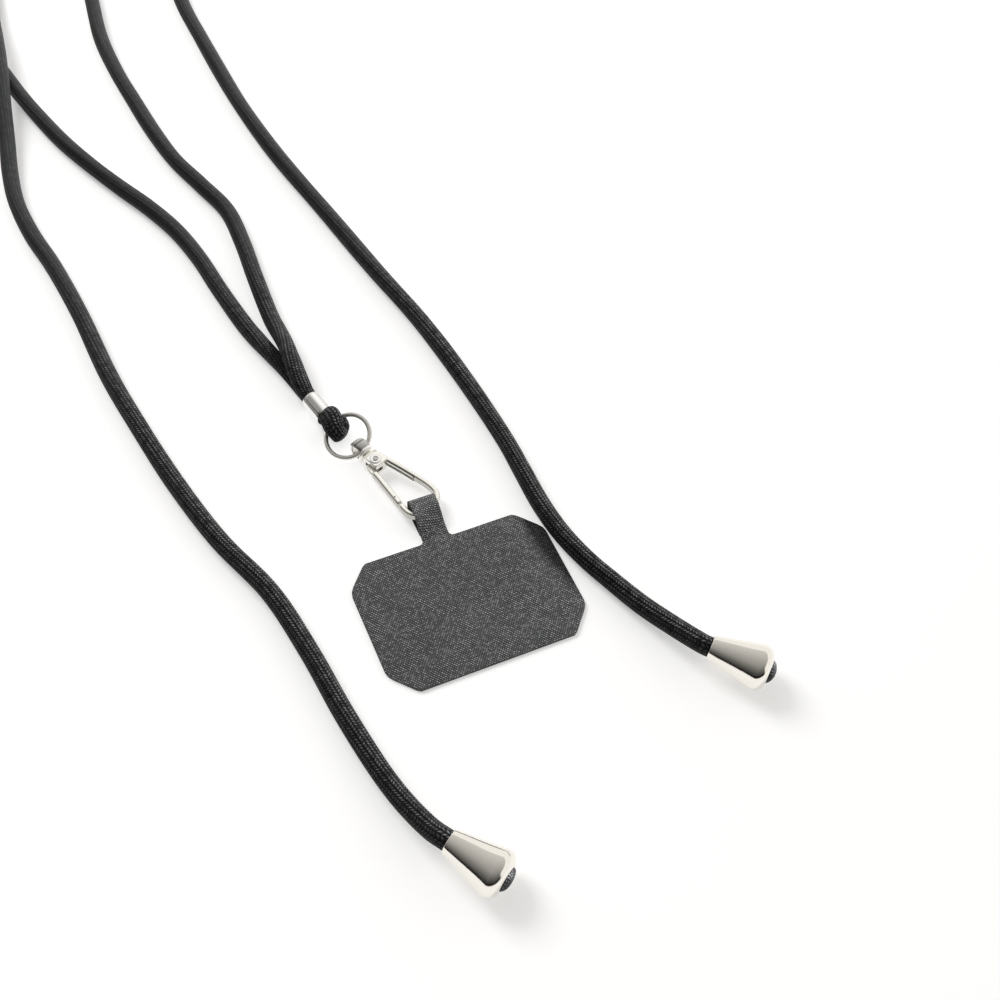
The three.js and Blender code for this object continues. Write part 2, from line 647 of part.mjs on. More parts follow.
function coneGeometry() {
  const bore = CONE_SMALL_RADIUS - CONE_LIP_WALL;
  const profile = [
    [bore, 0], [CONE_SMALL_RADIUS - CONE_LIP_WALL / 2, 0], [CONE_SMALL_RADIUS, -CONE_LIP_WALL],
    ...coneEnd(0), ...coneEnd(CONE_WALL).reverse(), [bore, -CONE_WALL], [bore, 0],
  ].map(([radius, height]) => new THREE.Vector2(radius, height));
  return new THREE.LatheGeometry(profile.reverse(), 28);
}

// The knot fills the cone's end and bulges out of its hole.
function knotGeometry() {
  const neck = CONE_HOLE_RADIUS - GAP;
  const wide = CONE_BELLY - knotStart;
  const profile = [
    [0, CONE_LENGTH + KNOT_BULGE], [neck * 0.5, CONE_LENGTH + KNOT_BULGE * 0.85],
    [neck * 0.85, CONE_LENGTH + KNOT_BULGE * 0.5], [neck, CONE_LENGTH], [neck, CONE_LENGTH - CONE_WALL],
    [KNOT_RADIUS * 0.93, CONE_BELLY + GAP], [KNOT_RADIUS, CONE_BELLY - wide * 0.3],
    [KNOT_RADIUS * 0.95, knotStart + wide * 0.35], [KNOT_RADIUS * 0.6, knotStart + wide * 0.08], [0, knotStart],
  ].map(([radius, depth]) => new THREE.Vector2(radius, -depth));
  return new THREE.LatheGeometry(profile, 20);
}

// Assembly

function material(red, green, blue, roughness, metalness) {
  const color = new THREE.Color(red, green, blue);
  return new THREE.MeshStandardMaterial({ color, roughness, metalness });
}

const strap = new THREE.Group();

function addPiece(name, geometry, look, matrix = new THREE.Matrix4()) {
  const mesh = new THREE.Mesh(geometry, look);
  mesh.name = name;
  matrix.decompose(mesh.position, mesh.quaternion, mesh.scale);
  strap.add(mesh);
}

const leftCone = coneFrame(LEFT_CONE_MOUTH, LEFT_CONE_YAW);
const rightCone = coneFrame(RIGHT_CONE_MOUTH, RIGHT_CONE_YAW);

addPiece('patch', patchGeometry(), material(0.09, 0.09, 0.095, 0.9, 0));
addPiece('hook_body', hookGeometry(), material(0.8, 0.78, 0.74, 0.2, 1), hookFrame);
addPiece('gate_pin', rivetGeometry(), material(0.8, 0.78, 0.74, 0.25, 1), hookFrame);
addPiece('gate', gateGeometry(), material(0.8, 0.78, 0.74, 0.2, 1), hookFrame);
addPiece('swivel_eye', eyeGeometry(), material(0.8, 0.78, 0.74, 0.2, 1), hookFrame);
addPiece('ring', ringGeometry(), material(0.72, 0.71, 0.68, 0.25, 1), ringFrame);
addPiece('ferrule', ferruleGeometry(), material(0.78, 0.78, 0.75, 0.35, 1), foldFrame);
addPiece('cord_fold', foldGeometry(), material(0.012, 0.012, 0.014, 0.7, 0));
addPiece('cord_left', cordGeometry(LEFT_ROUTE, leftCone), material(0.012, 0.012, 0.014, 0.7, 0));
addPiece('cord_right', cordGeometry(RIGHT_ROUTE, rightCone), material(0.012, 0.012, 0.014, 0.7, 0));
addPiece('cone_left', coneGeometry(), material(0.8, 0.79, 0.76, 0.15, 1), leftCone);
addPiece('cone_right', coneGeometry(), material(0.8, 0.79, 0.76, 0.15, 1), rightCone);
addPiece('knot_left', knotGeometry(), material(0.01, 0.01, 0.015, 0.6, 0), leftCone);
addPiece('knot_right', knotGeometry(), material(0.01, 0.01, 0.015, 0.6, 0), rightCone);

export default strap;
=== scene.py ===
"""Looks of a phone crossbody strap laid out on a white table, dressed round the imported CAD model.

Shapes are worked out in millimetres, as in the CAD source, and turned into metres when a mesh is made. Each
metal piece has a frame of its own: X to its right, Y away from the patch, Z up.
"""

import json
import math

import bpy
import numpy as np
from mathutils import Matrix, Vector


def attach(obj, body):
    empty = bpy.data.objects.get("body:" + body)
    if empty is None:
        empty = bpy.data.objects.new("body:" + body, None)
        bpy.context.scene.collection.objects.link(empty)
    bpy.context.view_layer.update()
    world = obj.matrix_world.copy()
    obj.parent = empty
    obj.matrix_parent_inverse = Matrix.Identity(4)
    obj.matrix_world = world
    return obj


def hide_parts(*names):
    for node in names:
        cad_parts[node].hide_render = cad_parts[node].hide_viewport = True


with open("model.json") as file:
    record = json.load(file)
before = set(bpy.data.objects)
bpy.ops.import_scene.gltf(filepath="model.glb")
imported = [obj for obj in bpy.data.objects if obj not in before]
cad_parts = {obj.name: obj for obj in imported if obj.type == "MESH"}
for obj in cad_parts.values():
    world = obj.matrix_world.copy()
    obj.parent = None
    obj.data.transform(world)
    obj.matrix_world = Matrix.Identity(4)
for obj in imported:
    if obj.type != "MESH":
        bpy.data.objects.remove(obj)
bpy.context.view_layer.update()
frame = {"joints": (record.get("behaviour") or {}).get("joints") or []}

MM = 0.001
UP = Vector((0, 0, 1))

JOINTS = {joint["name"]: joint for joint in frame["joints"]}


# Camera, at the photograph's viewpoint

CAMERA_AT = Vector((-0.079977, -0.177922, 0.312422))
CAMERA_RIGHT = Vector((0.91589, -0.39989, 0.03519))
CAMERA_FORWARD = Vector((0.26333, 0.53232, -0.80455))
LENS_MM = 46.8
SENSOR_MM = 36.0


def add_camera():
    data = bpy.data.cameras.new("camera")
    data.lens = LENS_MM
    data.sensor_width = SENSOR_MM
    data.clip_start = 0.01
    camera = bpy.data.objects.new("camera", data)
    back = -CAMERA_FORWARD.normalized()
    up = back.cross(CAMERA_RIGHT).normalized()
    turn = Matrix((up.cross(back), up, back)).transposed()
    camera.matrix_world = Matrix.Translation(CAMERA_AT) @ turn.to_4x4()
    bpy.context.scene.collection.objects.link(camera)
    bpy.context.scene.camera = camera


# Sizes, in millimetres

CLEAR = 0.3

PATCH_WIDTH = 60
PATCH_LENGTH = 43.9
CORNER_CUT = (6.7, 7.6)
FABRIC = 0.9
TAB_LEFT = -4.7
TAB_RIGHT = 3.4
TAB_LENGTH = 13.6
TAB_SAG = 0.12
TAB_FILLET = 1.4
TAB_FOLD_RADIUS = 1.6

HOOK_ORIGIN = Vector(JOINTS["swivel"]["pos_m"]) / MM
HOOK_YAW = math.atan2(-JOINTS["swivel"]["axis"][0], JOINTS["swivel"]["axis"][1])
HOOK_LENGTH = 23.2
HOOK_HALF_WIDTH = 5.7
ARM_WIDTH = 1.8
ARM_HEIGHT = 2.8
BLOCK_WIDTH = 4.8
BLOCK_TOP = 3.8
BLOCK_BOTTOM = 2.4
BLOCK_HEIGHT = 4.2
SLOT_HEIGHT = 1.8
SLOT_TOP = 2.2
SLOT_SIDE_WALL = 0.8
SLOT_CEILING = 0.5
SLOT_MOUTH = 0.35
SLOT_SHELF = 1.85
HUB_RADIUS = 1.6
RIVET_SIDE = -0.35
RIVET_HEAD_RADIUS = 1.72
GATE_WIDTH = 1.6
GATE_INNER_WIDTH = 0.3

FLANGE_RADIUS = 3.1
FLANGE_THICKNESS = 0.6
EYE_WALL = 0.95
EYE_HOLE_RADIUS = 2.2
EYE_WIDTH = 4.2
EYE_FLOOR = 0.3
WIRE_IN_EYE = 0.85

LEAN = math.radians(24)
RING_RADIUS = 7
WIRE_RADIUS = 0.65
WIRE_PLATED_RADIUS = 0.73
RING_YAW = math.radians(19.6)
RING_SLOPE = math.radians(5)
RING_FOLD_TURN = math.radians(6.4)

CORD_DIAMETER = 5.6
CORD_LIFT = 0.1
FOLD_YAW = math.radians(11.5)
FOLD_WIDTH = 7.4
FOLD_THICKNESS = 3.2
FOLD_REACH = 7.2
FERRULE_LENGTH = 9
FERRULE_RADIUS = 3.15
FERRULE_WALL = 0.35
FERRULE_TO_WIRE = 3.35
FERRULE_LIFT = 0.2

CONE_LENGTH = 16.7
CONE_BELLY = 13.4
CONE_SMALL_RADIUS = 3.45
CONE_LARGE_RADIUS = 6.6
CONE_HOLE_RADIUS = 3.6
CONE_LIP_WALL = 0.25
CONE_WALL = 0.8
CONE_LEAD = 1.6
CONE_SLOPE = math.radians(4)
CONE_LIFT = 0.1
KNOT_LENGTH = 8.2
KNOT_RADIUS = 4.5
KNOT_START = CONE_LENGTH + 1.3 - KNOT_LENGTH

# Cord routes, as in the CAD source: x, y and the lift as a share of one cord's thickness
LEFT_ROUTE = [
    (-27.2, 122), (-30.4, 142), (-32.5, 158.3), (-36.1, 174.4), (-41.8, 189.4), (-48.6, 203.7),
    (-55.3, 219), (-61.5, 235.3), (-66.6, 253), (-70.5, 269), (-74, 286), (-78, 301),
    (-83, 318), (-88, 334), (-91.5, 349), (-88, 363.5), (-78, 370), (-69, 363.5), (-66.5, 350),
    (-68.5, 333, 0.1), (-70.8, 316, 0.4), (-72, 301, 0.8), (-73.2, 287, 1.03), (-74.8, 274, 1.02),
    (-77.2, 259, 0.72), (-80, 241, 0.33), (-82.6, 224, 0.08), (-83.6, 208.4), (-82, 190.2),
    (-78.8, 173.2), (-75.6, 148.5), (-73.1, 117), (-69.9, 95.2), (-65.1, 68.3), (-59, 43.7),
    (-51, 21.7), (-47, -0.7), (-44.5, -22.1), (-41.2, -42.5, 0.14), (-38.8, -52.6, 0.37),
    (-35.7, -61.6, 0.66),
]
RIGHT_ROUTE = [
    (-18.5, 122), (-17.7, 143.2), (-16.7, 160.5), (-17, 178.2), (-21.6, 194.3), (-26.6, 210.7),
    (-29.7, 229.3), (-31.8, 249.4), (-33.6, 270.5), (-34, 293.2), (-31.6, 317.7), (-29.4, 338),
    (-28, 357), (-22.5, 371), (-12, 376.5), (-1, 371), (4.5, 357), (4.6, 338), (3, 320),
    (1.9, 301.7), (2.5, 278.6), (3.3, 256.6), (4.4, 235.8), (6.3, 216.2), (8.8, 197.8),
    (15, 163.8), (20.7, 132.1), (26.5, 102.7), (30, 74.3), (31.9, 47.2), (31.9, 34), (31.9, 21.3),
    (33.1, 9.4), (35.8, -1.6), (39.5, -11.6), (43.2, -21.8, 0.14), (47.4, -32, 0.44),
]
LEFT_CONE = {"mouth": (-33, -66.4), "yaw": math.radians(34), "knot_bulge": 1.35}
RIGHT_CONE = {"mouth": (52.9, -43.1), "yaw": math.radians(43.3), "knot_bulge": 1.85}


# Frames


def turned(origin, yaw, pitch=0.0, lean=0.0):
    """Frame at origin: yaw turns about Z, pitch raises the Y end and lean raises the X side."""
    turn = Matrix.Rotation(yaw, 4, "Z") @ Matrix.Rotation(pitch, 4, "X") @ Matrix.Rotation(-lean, 4, "Y")
    return Matrix.Translation(origin) @ turn


HOOK = turned(HOOK_ORIGIN, HOOK_YAW)
HOOK_ACROSS = HOOK.col[0].xyz
HOOK_ALONG = HOOK.col[1].xyz
FLANGE_START = BLOCK_TOP + CLEAR
FLANGE_END = FLANGE_START + FLANGE_THICKNESS
EYE_CENTRE = FLANGE_END + EYE_FLOOR + EYE_HOLE_RADIUS
WIRE_AT_EYE = HOOK @ Vector((0, EYE_CENTRE - WIRE_IN_EYE, 0))
RING_CENTRE = turned(WIRE_AT_EYE, RING_YAW, RING_SLOPE, LEAN) @ Vector((0, RING_RADIUS, 0))
RING = turned(RING_CENTRE, RING_YAW, RING_SLOPE, LEAN)
WIRE_IN_FOLD = RING @ (RING_RADIUS * Vector((-math.sin(RING_FOLD_TURN), math.cos(RING_FOLD_TURN), 0)))
FOLD_PITCH = -math.asin(
    (WIRE_IN_FOLD.z - FERRULE_RADIUS - FERRULE_LIFT) / (FERRULE_TO_WIRE + FERRULE_LENGTH)
)
FOLD = turned(WIRE_IN_FOLD, FOLD_YAW, FOLD_PITCH, LEAN)
FOLD_ACROSS = FOLD.col[0].xyz


def cone_frame(cone):
    height = CONE_LIFT + CONE_LARGE_RADIUS * math.cos(CONE_SLOPE) + CONE_BELLY * math.sin(CONE_SLOPE)
    return turned(Vector((*cone["mouth"], height)), cone["yaw"], CONE_SLOPE)


# Mesh tools


def inside_out(points, faces):
    """Whether a closed mesh encloses a negative volume."""
    volume = 0.0
    for face in faces:
        first = points[face[0]]
        for second, third in zip(face[1:], face[2:]):
            volume += float(np.dot(first, np.cross(points[second], points[third])))
    return volume < 0


def flipped_corners(corner_uv, faces):
    flipped = []
    start = 0
    for face in faces:
        flipped += corner_uv[start : start + len(face)][::-1]
        start += len(face)
    return flipped


def add_piece(
    name, mesh, material, body, node, place=None, smooth=True, closed=True, braided=False
):
    """Object from a mesh in millimetres, riding on a body and standing for a CAD node."""
    points = np.asarray([tuple(p) for p in mesh[0]], dtype=float)
    faces = mesh[1]
    uv = mesh[2] if braided else None
    if place is not None:
        matrix = np.array(place)
        points = points @ matrix[:3, :3].T + matrix[:3, 3]
    if closed and inside_out(points, faces):
        faces = [tuple(face)[::-1] for face in faces]
        if braided:
            uv = flipped_corners(uv, faces)
    data = bpy.data.meshes.new(name)
    data.from_pydata((points * MM).tolist(), [], [tuple(f) for f in faces])
    data.update()
    if braided:
        layer = data.uv_layers.new(name="braid")
        layer.data.foreach_set("uv", np.asarray(uv, dtype=np.float32).ravel())
    if smooth:
        data.shade_smooth()
    data.materials.append(material)
    piece = bpy.data.objects.new(name, data)
    bpy.context.scene.collection.objects.link(piece)
    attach(piece, body)
    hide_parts(node)
    return piece


def tube_mesh(rings, along=None, caps=True, closed=False):
    """Points, faces and corner UVs of a tube through rings of equal size; u goes round and v is along."""
    rings = np.asarray(rings, dtype=float)
    rows, sides = rings.shape[:2]
    if along is None:
        along = np.arange(rows, dtype=float)
    points = rings.reshape(-1, 3).tolist()
    faces = []
    uv = []
    for row in range(rows if closed else rows - 1):
        low, high = along[row], along[row + 1] if row + 1 < rows else along[row] + 1
        here, there = row * sides, (row + 1) % rows * sides
        for side in range(sides):
            beside = (side + 1) % sides
            faces.append((here + side, here + beside, there + beside, there + side))
            u0, u1 = side / sides, (side + 1) / sides
            uv += [(u0, low), (u1, low), (u1, high), (u0, high)]
    if caps and not closed:
        for row, flip in ((0, True), (rows - 1, False)):
            centre = len(points)
            points.append(rings[row].mean(axis=0).tolist())
            for side in range(sides):
                a, b = row * sides + side, row * sides + (side + 1) % sides
                faces.append((centre, b, a) if flip else (centre, a, b))
                uv += [(0.5, along[row])] * 3
    return points, faces, uv


def lathe_mesh(profile, segments=96, closed=False):
    """Body turned about Y from (radius, y) points, ordered so that its faces point out."""
    rings = []
    angles = np.linspace(0, 2 * math.pi, segments, endpoint=False)
    for radius, y in profile:
        radius = max(radius, 1e-4)
        x, z = np.cos(angles) * radius, -np.sin(angles) * radius
        rings.append(np.stack([x, np.full(segments, y), z], axis=1))
    along = [0.0]
    for (r0, y0), (r1, y1) in zip(profile, profile[1:]):
        along.append(along[-1] + math.hypot(r1 - r0, y1 - y0))
    return tube_mesh(rings, along, caps=False, closed=closed)


def unit_tangents(line):
    tangent = np.gradient(line, axis=0)
    return tangent / np.linalg.norm(tangent, axis=1)[:, None]


def smoothed(values, times):
    """Softens a row of numbers or vectors, with its ends kept."""
    values = np.array(values, dtype=float)
    for _ in range(times):
        values[1:-1] = values[:-2] * 0.25 + values[1:-1] * 0.5 + values[2:] * 0.25
    return values


def catmull_rom(points, per_span=24):
    """Centripetal Catmull-Rom line through points, as rows of (index along the points, x, y, z)."""
    points = [np.array(p, dtype=float) for p in points]
    points = [2 * points[0] - points[1], *points, 2 * points[-1] - points[-2]]
    line = []
    for span in range(1, len(points) - 2):
        p0, p1, p2, p3 = points[span - 1 : span + 3]
        gaps = [max(np.linalg.norm(b - a) ** 0.5, 1e-4) for a, b in ((p0, p1), (p1, p2), (p2, p3))]
        m1 = gaps[1] * ((p1 - p0) / gaps[0] - (p2 - p0) / (gaps[0] + gaps[1]) + (p2 - p1) / gaps[1])
        m2 = gaps[1] * ((p2 - p1) / gaps[1] - (p3 - p1) / (gaps[1] + gaps[2]) + (p3 - p2) / gaps[2])
        for t in np.linspace(0, 1, per_span, endpoint=False):
            place = (
                (2 * t**3 - 3 * t**2 + 1) * p1 + (t**3 - 2 * t**2 + t) * m1
                + (3 * t**2 - 2 * t**3) * p2 + (t**3 - t**2) * m2
            )
            line.append([span - 1 + t, *place])
    line.append([len(points) - 3, *points[-2]])
    return np.array(line)


def resampled(line, step):
    """The same line with points an equal step apart, and the distance along it."""
    spans = np.linalg.norm(np.diff(line[:, 1:], axis=0), axis=1)
    at = np.concatenate([[0], np.cumsum(spans)])
    count = max(2, int(round(at[-1] / step)) + 1)
    even = np.linspace(0, at[-1], count)
    return np.stack([np.interp(even, at, line[:, k]) for k in range(4)], axis=1), even


# Materials


class Nodes:
    """A node tree with short ways to add nodes."""

    def __init__(self, tree):
        self.tree = tree

    def node(self, kind, settings=None, **inputs):
        node = self.tree.nodes.new(kind)
        for key, value in (settings or {}).items():
            setattr(node, key, value)
        for key, value in inputs.items():
            self.feed(node.inputs[key.replace("_", " ")], value)
        return node

    def feed(self, socket, value):
        if isinstance(value, bpy.types.NodeSocket):
            self.tree.links.new(value, socket)
        else:
            socket.default_value = value

    def math(self, operation, first, second=0.0, third=0.0):
        node = self.tree.nodes.new("ShaderNodeMath")
        node.operation = operation
        for socket, value in zip(node.inputs, (first, second, third)):
            self.feed(socket, value)
        return node.outputs[0]

    def scaled(self, value, by, plus=0.0):
        return self.math("MULTIPLY_ADD", value, by, plus)

    def mix(self, share, low, high):
        node = self.node("ShaderNodeMix", {"data_type": "RGBA"})
        for name, value in (("Factor", share), ("A", low), ("B", high)):
            self.feed(node.inputs[name], value)
        return node.outputs["Result"]

    def spread(self, value, low, high, to_low=0.0, to_high=1.0):
        node = self.node("ShaderNodeMapRange", {"clamp": True})
        for socket, number in zip(node.inputs, (value, low, high, to_low, to_high)):
            self.feed(socket, number)
        return node.outputs[0]

    def place(self):
        return self.node("ShaderNodeTexCoord").outputs["Object"]

    def axis(self, name, vector=None):
        return self.node("ShaderNodeSeparateXYZ", Vector=vector or self.place()).outputs[name]

    def noise(self, scale, detail=2.0, vector=None, output="Fac"):
        node = self.node("ShaderNodeTexNoise", Scale=scale, Detail=detail, Vector=vector or self.place())
        return node.outputs[output]

    def bump(self, height, distance, strength):
        node = self.node("ShaderNodeBump", Height=height, Distance=distance, Strength=strength)
        return node.outputs["Normal"]

    def dot(self, vector, direction):
        node = self.node("ShaderNodeVectorMath", {"operation": "DOT_PRODUCT"})
        self.feed(node.inputs[0], vector)
        node.inputs[1].default_value = tuple(direction)
        return node.outputs["Value"]

    def beyond(self, direction, origin):
        """Distance along a direction from an origin in millimetres."""
        return self.math("SUBTRACT", self.dot(self.place(), direction), direction.dot(origin) * MM)


class Look(Nodes):
    """A Principled material."""

    def __init__(self, name):
        self.material = bpy.data.materials.new(name)
        self.material.use_nodes = True
        super().__init__(self.material.node_tree)
        self.shader = self.tree.nodes["Principled BSDF"]

    def set(self, **inputs):
        for key, value in inputs.items():
            self.feed(self.shader.inputs[key.replace("_", " ")], value)


def grey(value, tint=(1.0, 1.0, 1.0)):
    return (value * tint[0], value * tint[1], value * tint[2], 1.0)


STITCH_COLUMNS = 16
STITCH_PITCH = 0.95
STITCH_SLANT = 0.7
STITCH_WOBBLE = 0.5
STITCH_SHARPNESS = 2.6
RIDGE_SHARPNESS = 0.7
FIBRE_HEIGHT = 0.14
BRAID_RELIEF = 0.00035
LOBE_TWIST = 2 * math.pi / 520

# Single stitches fade far away: where that starts and ends along Y, how far it goes and the tone that is left
FADE_START = 0.085
FADE_END = 0.17
FADE_DEPTH = 0.75
FADED_TONE = 0.16


def braid_look(name, dark=0.0015, light=0.066, pitch=STITCH_PITCH, columns=STITCH_COLUMNS):
    """Polyester braid: columns of slanted stitches whose slant changes from one column to the next, with
    painted highlights on the stitch tops and painted shade in the valleys between the cord's ribs.
    """
    look = Look(name)
    uv = look.node("ShaderNodeUVMap", {"uv_map": "braid"}).outputs["UV"]
    along = look.axis("Y", uv)
    round_it = look.scaled(along, LOBE_TWIST / (2 * math.pi), look.axis("X", uv))
    across = look.scaled(round_it, float(columns))
    column = look.math("FLOOR", across)
    place = look.math("SUBTRACT", across, column)
    odd = look.math("MODULO", column, 2.0)
    slant = look.scaled(odd, 2.0, -1.0)
    phase = look.math("DIVIDE", along, pitch)
    phase = look.scaled(look.scaled(place, slant), STITCH_SLANT, phase)
    phase = look.scaled(odd, 0.5, phase)
    phase = look.scaled(look.noise(900.0, 1.0), STITCH_WOBBLE, phase)
    stitch = look.math("ABSOLUTE", look.math("SINE", look.scaled(phase, math.pi)))
    ridge = look.math("SINE", look.scaled(place, math.pi))
    ridge = look.math("POWER", look.math("MAXIMUM", ridge, 0.0), RIDGE_SHARPNESS)
    height = look.scaled(ridge, look.scaled(stitch, 0.8, 0.2))
    lobe = look.math("ABSOLUTE", look.math("COSINE", look.scaled(round_it, math.pi * columns / 2)))
    patchy = look.spread(look.noise(520.0, 3.0), 0.32, 0.68, 0.1, 1.7)
    # Colour share: stitch tops painted lighter than the black cord as painted highlights, patchy by noise,
    # and the valleys between the eight ribs painted darker as painted shade
    share = look.scaled(look.math("POWER", height, STITCH_SHARPNESS), patchy)
    share = look.scaled(share, look.scaled(lobe, 0.55, 0.45))
    far = look.spread(look.axis("Y"), FADE_START, FADE_END, 0.0, FADE_DEPTH)
    share = look.scaled(far, look.math("SUBTRACT", FADED_TONE, share), share)
    relief = look.scaled(look.noise(4200.0, 2.0), FIBRE_HEIGHT, height)
    look.set(
        Base_Color=look.mix(share, grey(dark, (1, 1, 1.1)), grey(light, (0.98, 1, 1.04))),
        Roughness=0.6,
        Specular_IOR_Level=0.12,
        Sheen_Weight=0.03,
        Sheen_Roughness=0.45,
        Normal=look.bump(relief, BRAID_RELIEF, look.scaled(far, -1.1, 1.0)),
    )
    return look.material


WEAVE_ROW = 0.00052
WEAVE_COLUMN = 0.00078
WEAVE_WANDER = 0.0004
WEAVE_RELIEF = 0.00014


def patch_look():
    """Laminated cloth: short threads in staggered rows, each of its own brightness."""
    look = Look("patch_twill")
    place = look.place()
    bent = look.node("ShaderNodeVectorMath", {"operation": "MULTIPLY_ADD"})
    wander = look.noise(260.0, 1.0, place, "Color")
    for socket, value in zip(bent.inputs, (wander, (WEAVE_WANDER, WEAVE_WANDER, 0.0), place)):
        look.feed(socket, value)
    up_patch = look.axis("Y", bent.outputs[0])
    row = look.math("DIVIDE", up_patch, WEAVE_ROW)
    row_number = look.math("FLOOR", row)
    column = look.math("DIVIDE", look.axis("X", bent.outputs[0]), WEAVE_COLUMN)
    column = look.scaled(look.math("MODULO", row_number, 2.0), 0.5, column)
    column_number = look.math("FLOOR", column)
    cell = look.node("ShaderNodeCombineXYZ", X=column_number, Y=row_number).outputs[0]
    chance = look.node("ShaderNodeTexWhiteNoise", {"noise_dimensions": "2D"}, Vector=cell).outputs["Value"]
    across = look.math("SINE", look.scaled(look.math("SUBTRACT", column, column_number), math.pi))
    down = look.math("SINE", look.scaled(look.math("SUBTRACT", row, row_number), math.pi))
    bright = look.scaled(look.math("POWER", chance, 2.0), 0.8, 0.45)
    broad = look.spread(look.noise(45.0), 0.3, 0.7, 0.9, 1.1)
    # The tab, the same cloth as the patch, is painted up to 1.4 times lighter: painted light
    tab_painted_light = look.spread(up_patch, 0.021, 0.026, 1.0, 1.4)
    tone = look.scaled(look.scaled(look.scaled(across, down), bright), look.scaled(broad, tab_painted_light))
    cloth = look.mix(tone, grey(0.0025, (1, 1, 1.03)), grey(0.108, (0.99, 1, 1.02)))
    # Faces turned away from upright, the cloth's cut edges, are painted a lighter grey: painted light on the
    # sides
    upright = look.axis("Z", look.node("ShaderNodeNewGeometry").outputs["True Normal"])
    look.set(
        Base_Color=look.mix(look.spread(upright, 0.35, 0.8, 0.7, 0.0), cloth, grey(0.09)),
        Roughness=0.7,
        Specular_IOR_Level=0.2,
        Sheen_Weight=0.03,
        Normal=look.bump(tone, WEAVE_RELIEF, 0.9),
    )
    return look.material


MARK_SCALE = 900.0
SMEAR_SCALE = 180.0
MARK_DEPTH = 0.00001


def metal_look(name, colour, roughness, left_shade=None):
    """Plated metal with faint handling marks; a colour given for the left side paints the faces turned that
    way darker, a painted shade.
    """
    look = Look(name)
    marks = look.noise(MARK_SCALE, 4.0)
    plate = look.mix(look.noise(SMEAR_SCALE), (*[c * 0.95 for c in colour], 1.0), (*colour, 1.0))
    if left_shade:
        # Faces turned to the hook's left are painted darker: painted shade
        facing = look.dot(look.node("ShaderNodeNewGeometry").outputs["Normal"], -HOOK_ACROSS)
        plate = look.mix(look.spread(facing, 0.4, 0.8), plate, (*left_shade, 1.0))
    look.set(
        Base_Color=plate,
        Metallic=1.0,
        Roughness=look.spread(marks, 0.35, 0.7, roughness * 0.8, roughness * 1.35),
        Normal=look.bump(marks, MARK_DEPTH, 0.25),
    )
    return look.material


def ferrule_look():
    """Satin sleeve with a dark streak painted along its left side, a painted dark reflection."""
    look = Look("ferrule_satin")
    share = look.math("DIVIDE", look.beyond(FOLD_ACROSS, WIRE_IN_FOLD), FERRULE_RADIUS * MM)
    # A dark band around the left side of the sleeve: painted dark reflection
    painted_dark_reflection = look.scaled(look.spread(share, -0.62, -0.36), look.spread(share, -0.3, 0.55, 1.0, 0.0))
    lines = look.node("ShaderNodeMapping", Vector=look.place())
    lines.inputs["Rotation"].default_value = (0.0, 0.0, -FOLD_YAW)
    lines.inputs["Scale"].default_value = (1.0, 0.04, 1.0)
    look.set(
        Base_Color=look.mix(painted_dark_reflection, grey(0.92, (1, 1, 0.98)), grey(0.26, (1, 1, 0.98))),
        Metallic=1.0,
        Roughness=0.2,
        Normal=look.bump(look.noise(9000.0, 3.0, lines.outputs[0]), 0.00002, 0.06),
    )
    return look.material


EYE_LINE_PITCH = 0.73
EYE_TOP_SHADE_ABOVE = (0.0044, 0.0054)


def eye_look():
    """Plated like the hook, with its top painted darker as painted shade: darkest on its left and towards the
    block, lighter to the right and the far end, and with dark lines painted as shade in the grooves.
    """
    look = Look("eye_plate")
    # The band's top, above this height, is painted darker: painted shade, with a painted gradient of light
    # and shade
    painted_top_shade = look.spread(look.scaled(look.noise(800.0), 0.0004, look.axis("Z")), *EYE_TOP_SHADE_ABOVE)
    across = look.beyond(HOOK_ACROSS, HOOK_ORIGIN)
    along = look.beyond(HOOK_ALONG, HOOK_ORIGIN)
    off_flange = look.spread(along, FLANGE_END * MM, (FLANGE_END + 0.4) * MM)
    to_right = look.spread(across, -0.0016, 0.0019)
    to_end = look.spread(along, (FLANGE_END + 0.3) * MM, (EYE_CENTRE + 1.6) * MM)
    pale = look.scaled(to_right, 0.5, look.scaled(to_end, 0.35))
    top = look.mix(pale, grey(0.16, (1, 0.98, 0.93)), grey(0.75, (1, 0.98, 0.93)))
    # Dark lines across the top at the grooves: painted shade in the grooves
    past_middle = look.math("SUBTRACT", along, (EYE_CENTRE + 0.46) * MM)
    wave = look.math("COSINE", look.scaled(past_middle, 2 * math.pi / (EYE_LINE_PITCH * MM)))
    lines = look.scaled(look.spread(wave, 0.35, 0.8), look.spread(past_middle, -0.0003, -0.0001))
    top = look.mix(lines, top, grey(0.07))
    look.set(
        Base_Color=look.mix(look.scaled(painted_top_shade, off_flange), grey(0.98, (1, 0.99, 0.97)), top),
        Metallic=1.0,
        Roughness=0.24,
    )
    return look.material


# Cords


def route_point(point):
    x, y, lift = (*point, 0)[:3]
    return Vector((x, y, CORD_DIAMETER / 2 + CORD_LIFT + lift * (CORD_DIAMETER + CLEAR)))


def stations(names, *rows):
    return [dict(zip(names.split(), row)) for row in rows]


# Stations along one strand in the fold's frame. at is the place along the strap: 2 and 1 are the ferrule's
# upper and lower end, 0 is the ring's wire and -1 the tip of the fold. apart is a share of the strand's
# distance from the middle at the wire, aside is in millimetres, the others are shares of the fold's section.
FOLD_STATIONS = stations(
    "at apart aside width thickness",
    (2, 0.55, 0, 0.54, 0.6), (1.5, 0.55, 0, 0.54, 0.6), (1, 0.58, 0.25, 0.62, 0.66),
    (0.84, 0.8, 0.75, 0.8, 0.9), (0.5, 1, 1.0, 0.95, 1.02), (0, 1.08, 1.0, 0.98, 1.04),
    (-0.3, 1.05, 0.65, 0.94, 1.02), (-0.52, 0.97, 0.05, 0.88, 1), (-0.72, 0.76, -0.25, 0.78, 0.96),
    (-0.86, 0.42, -0.45, 0.68, 0.92),
)

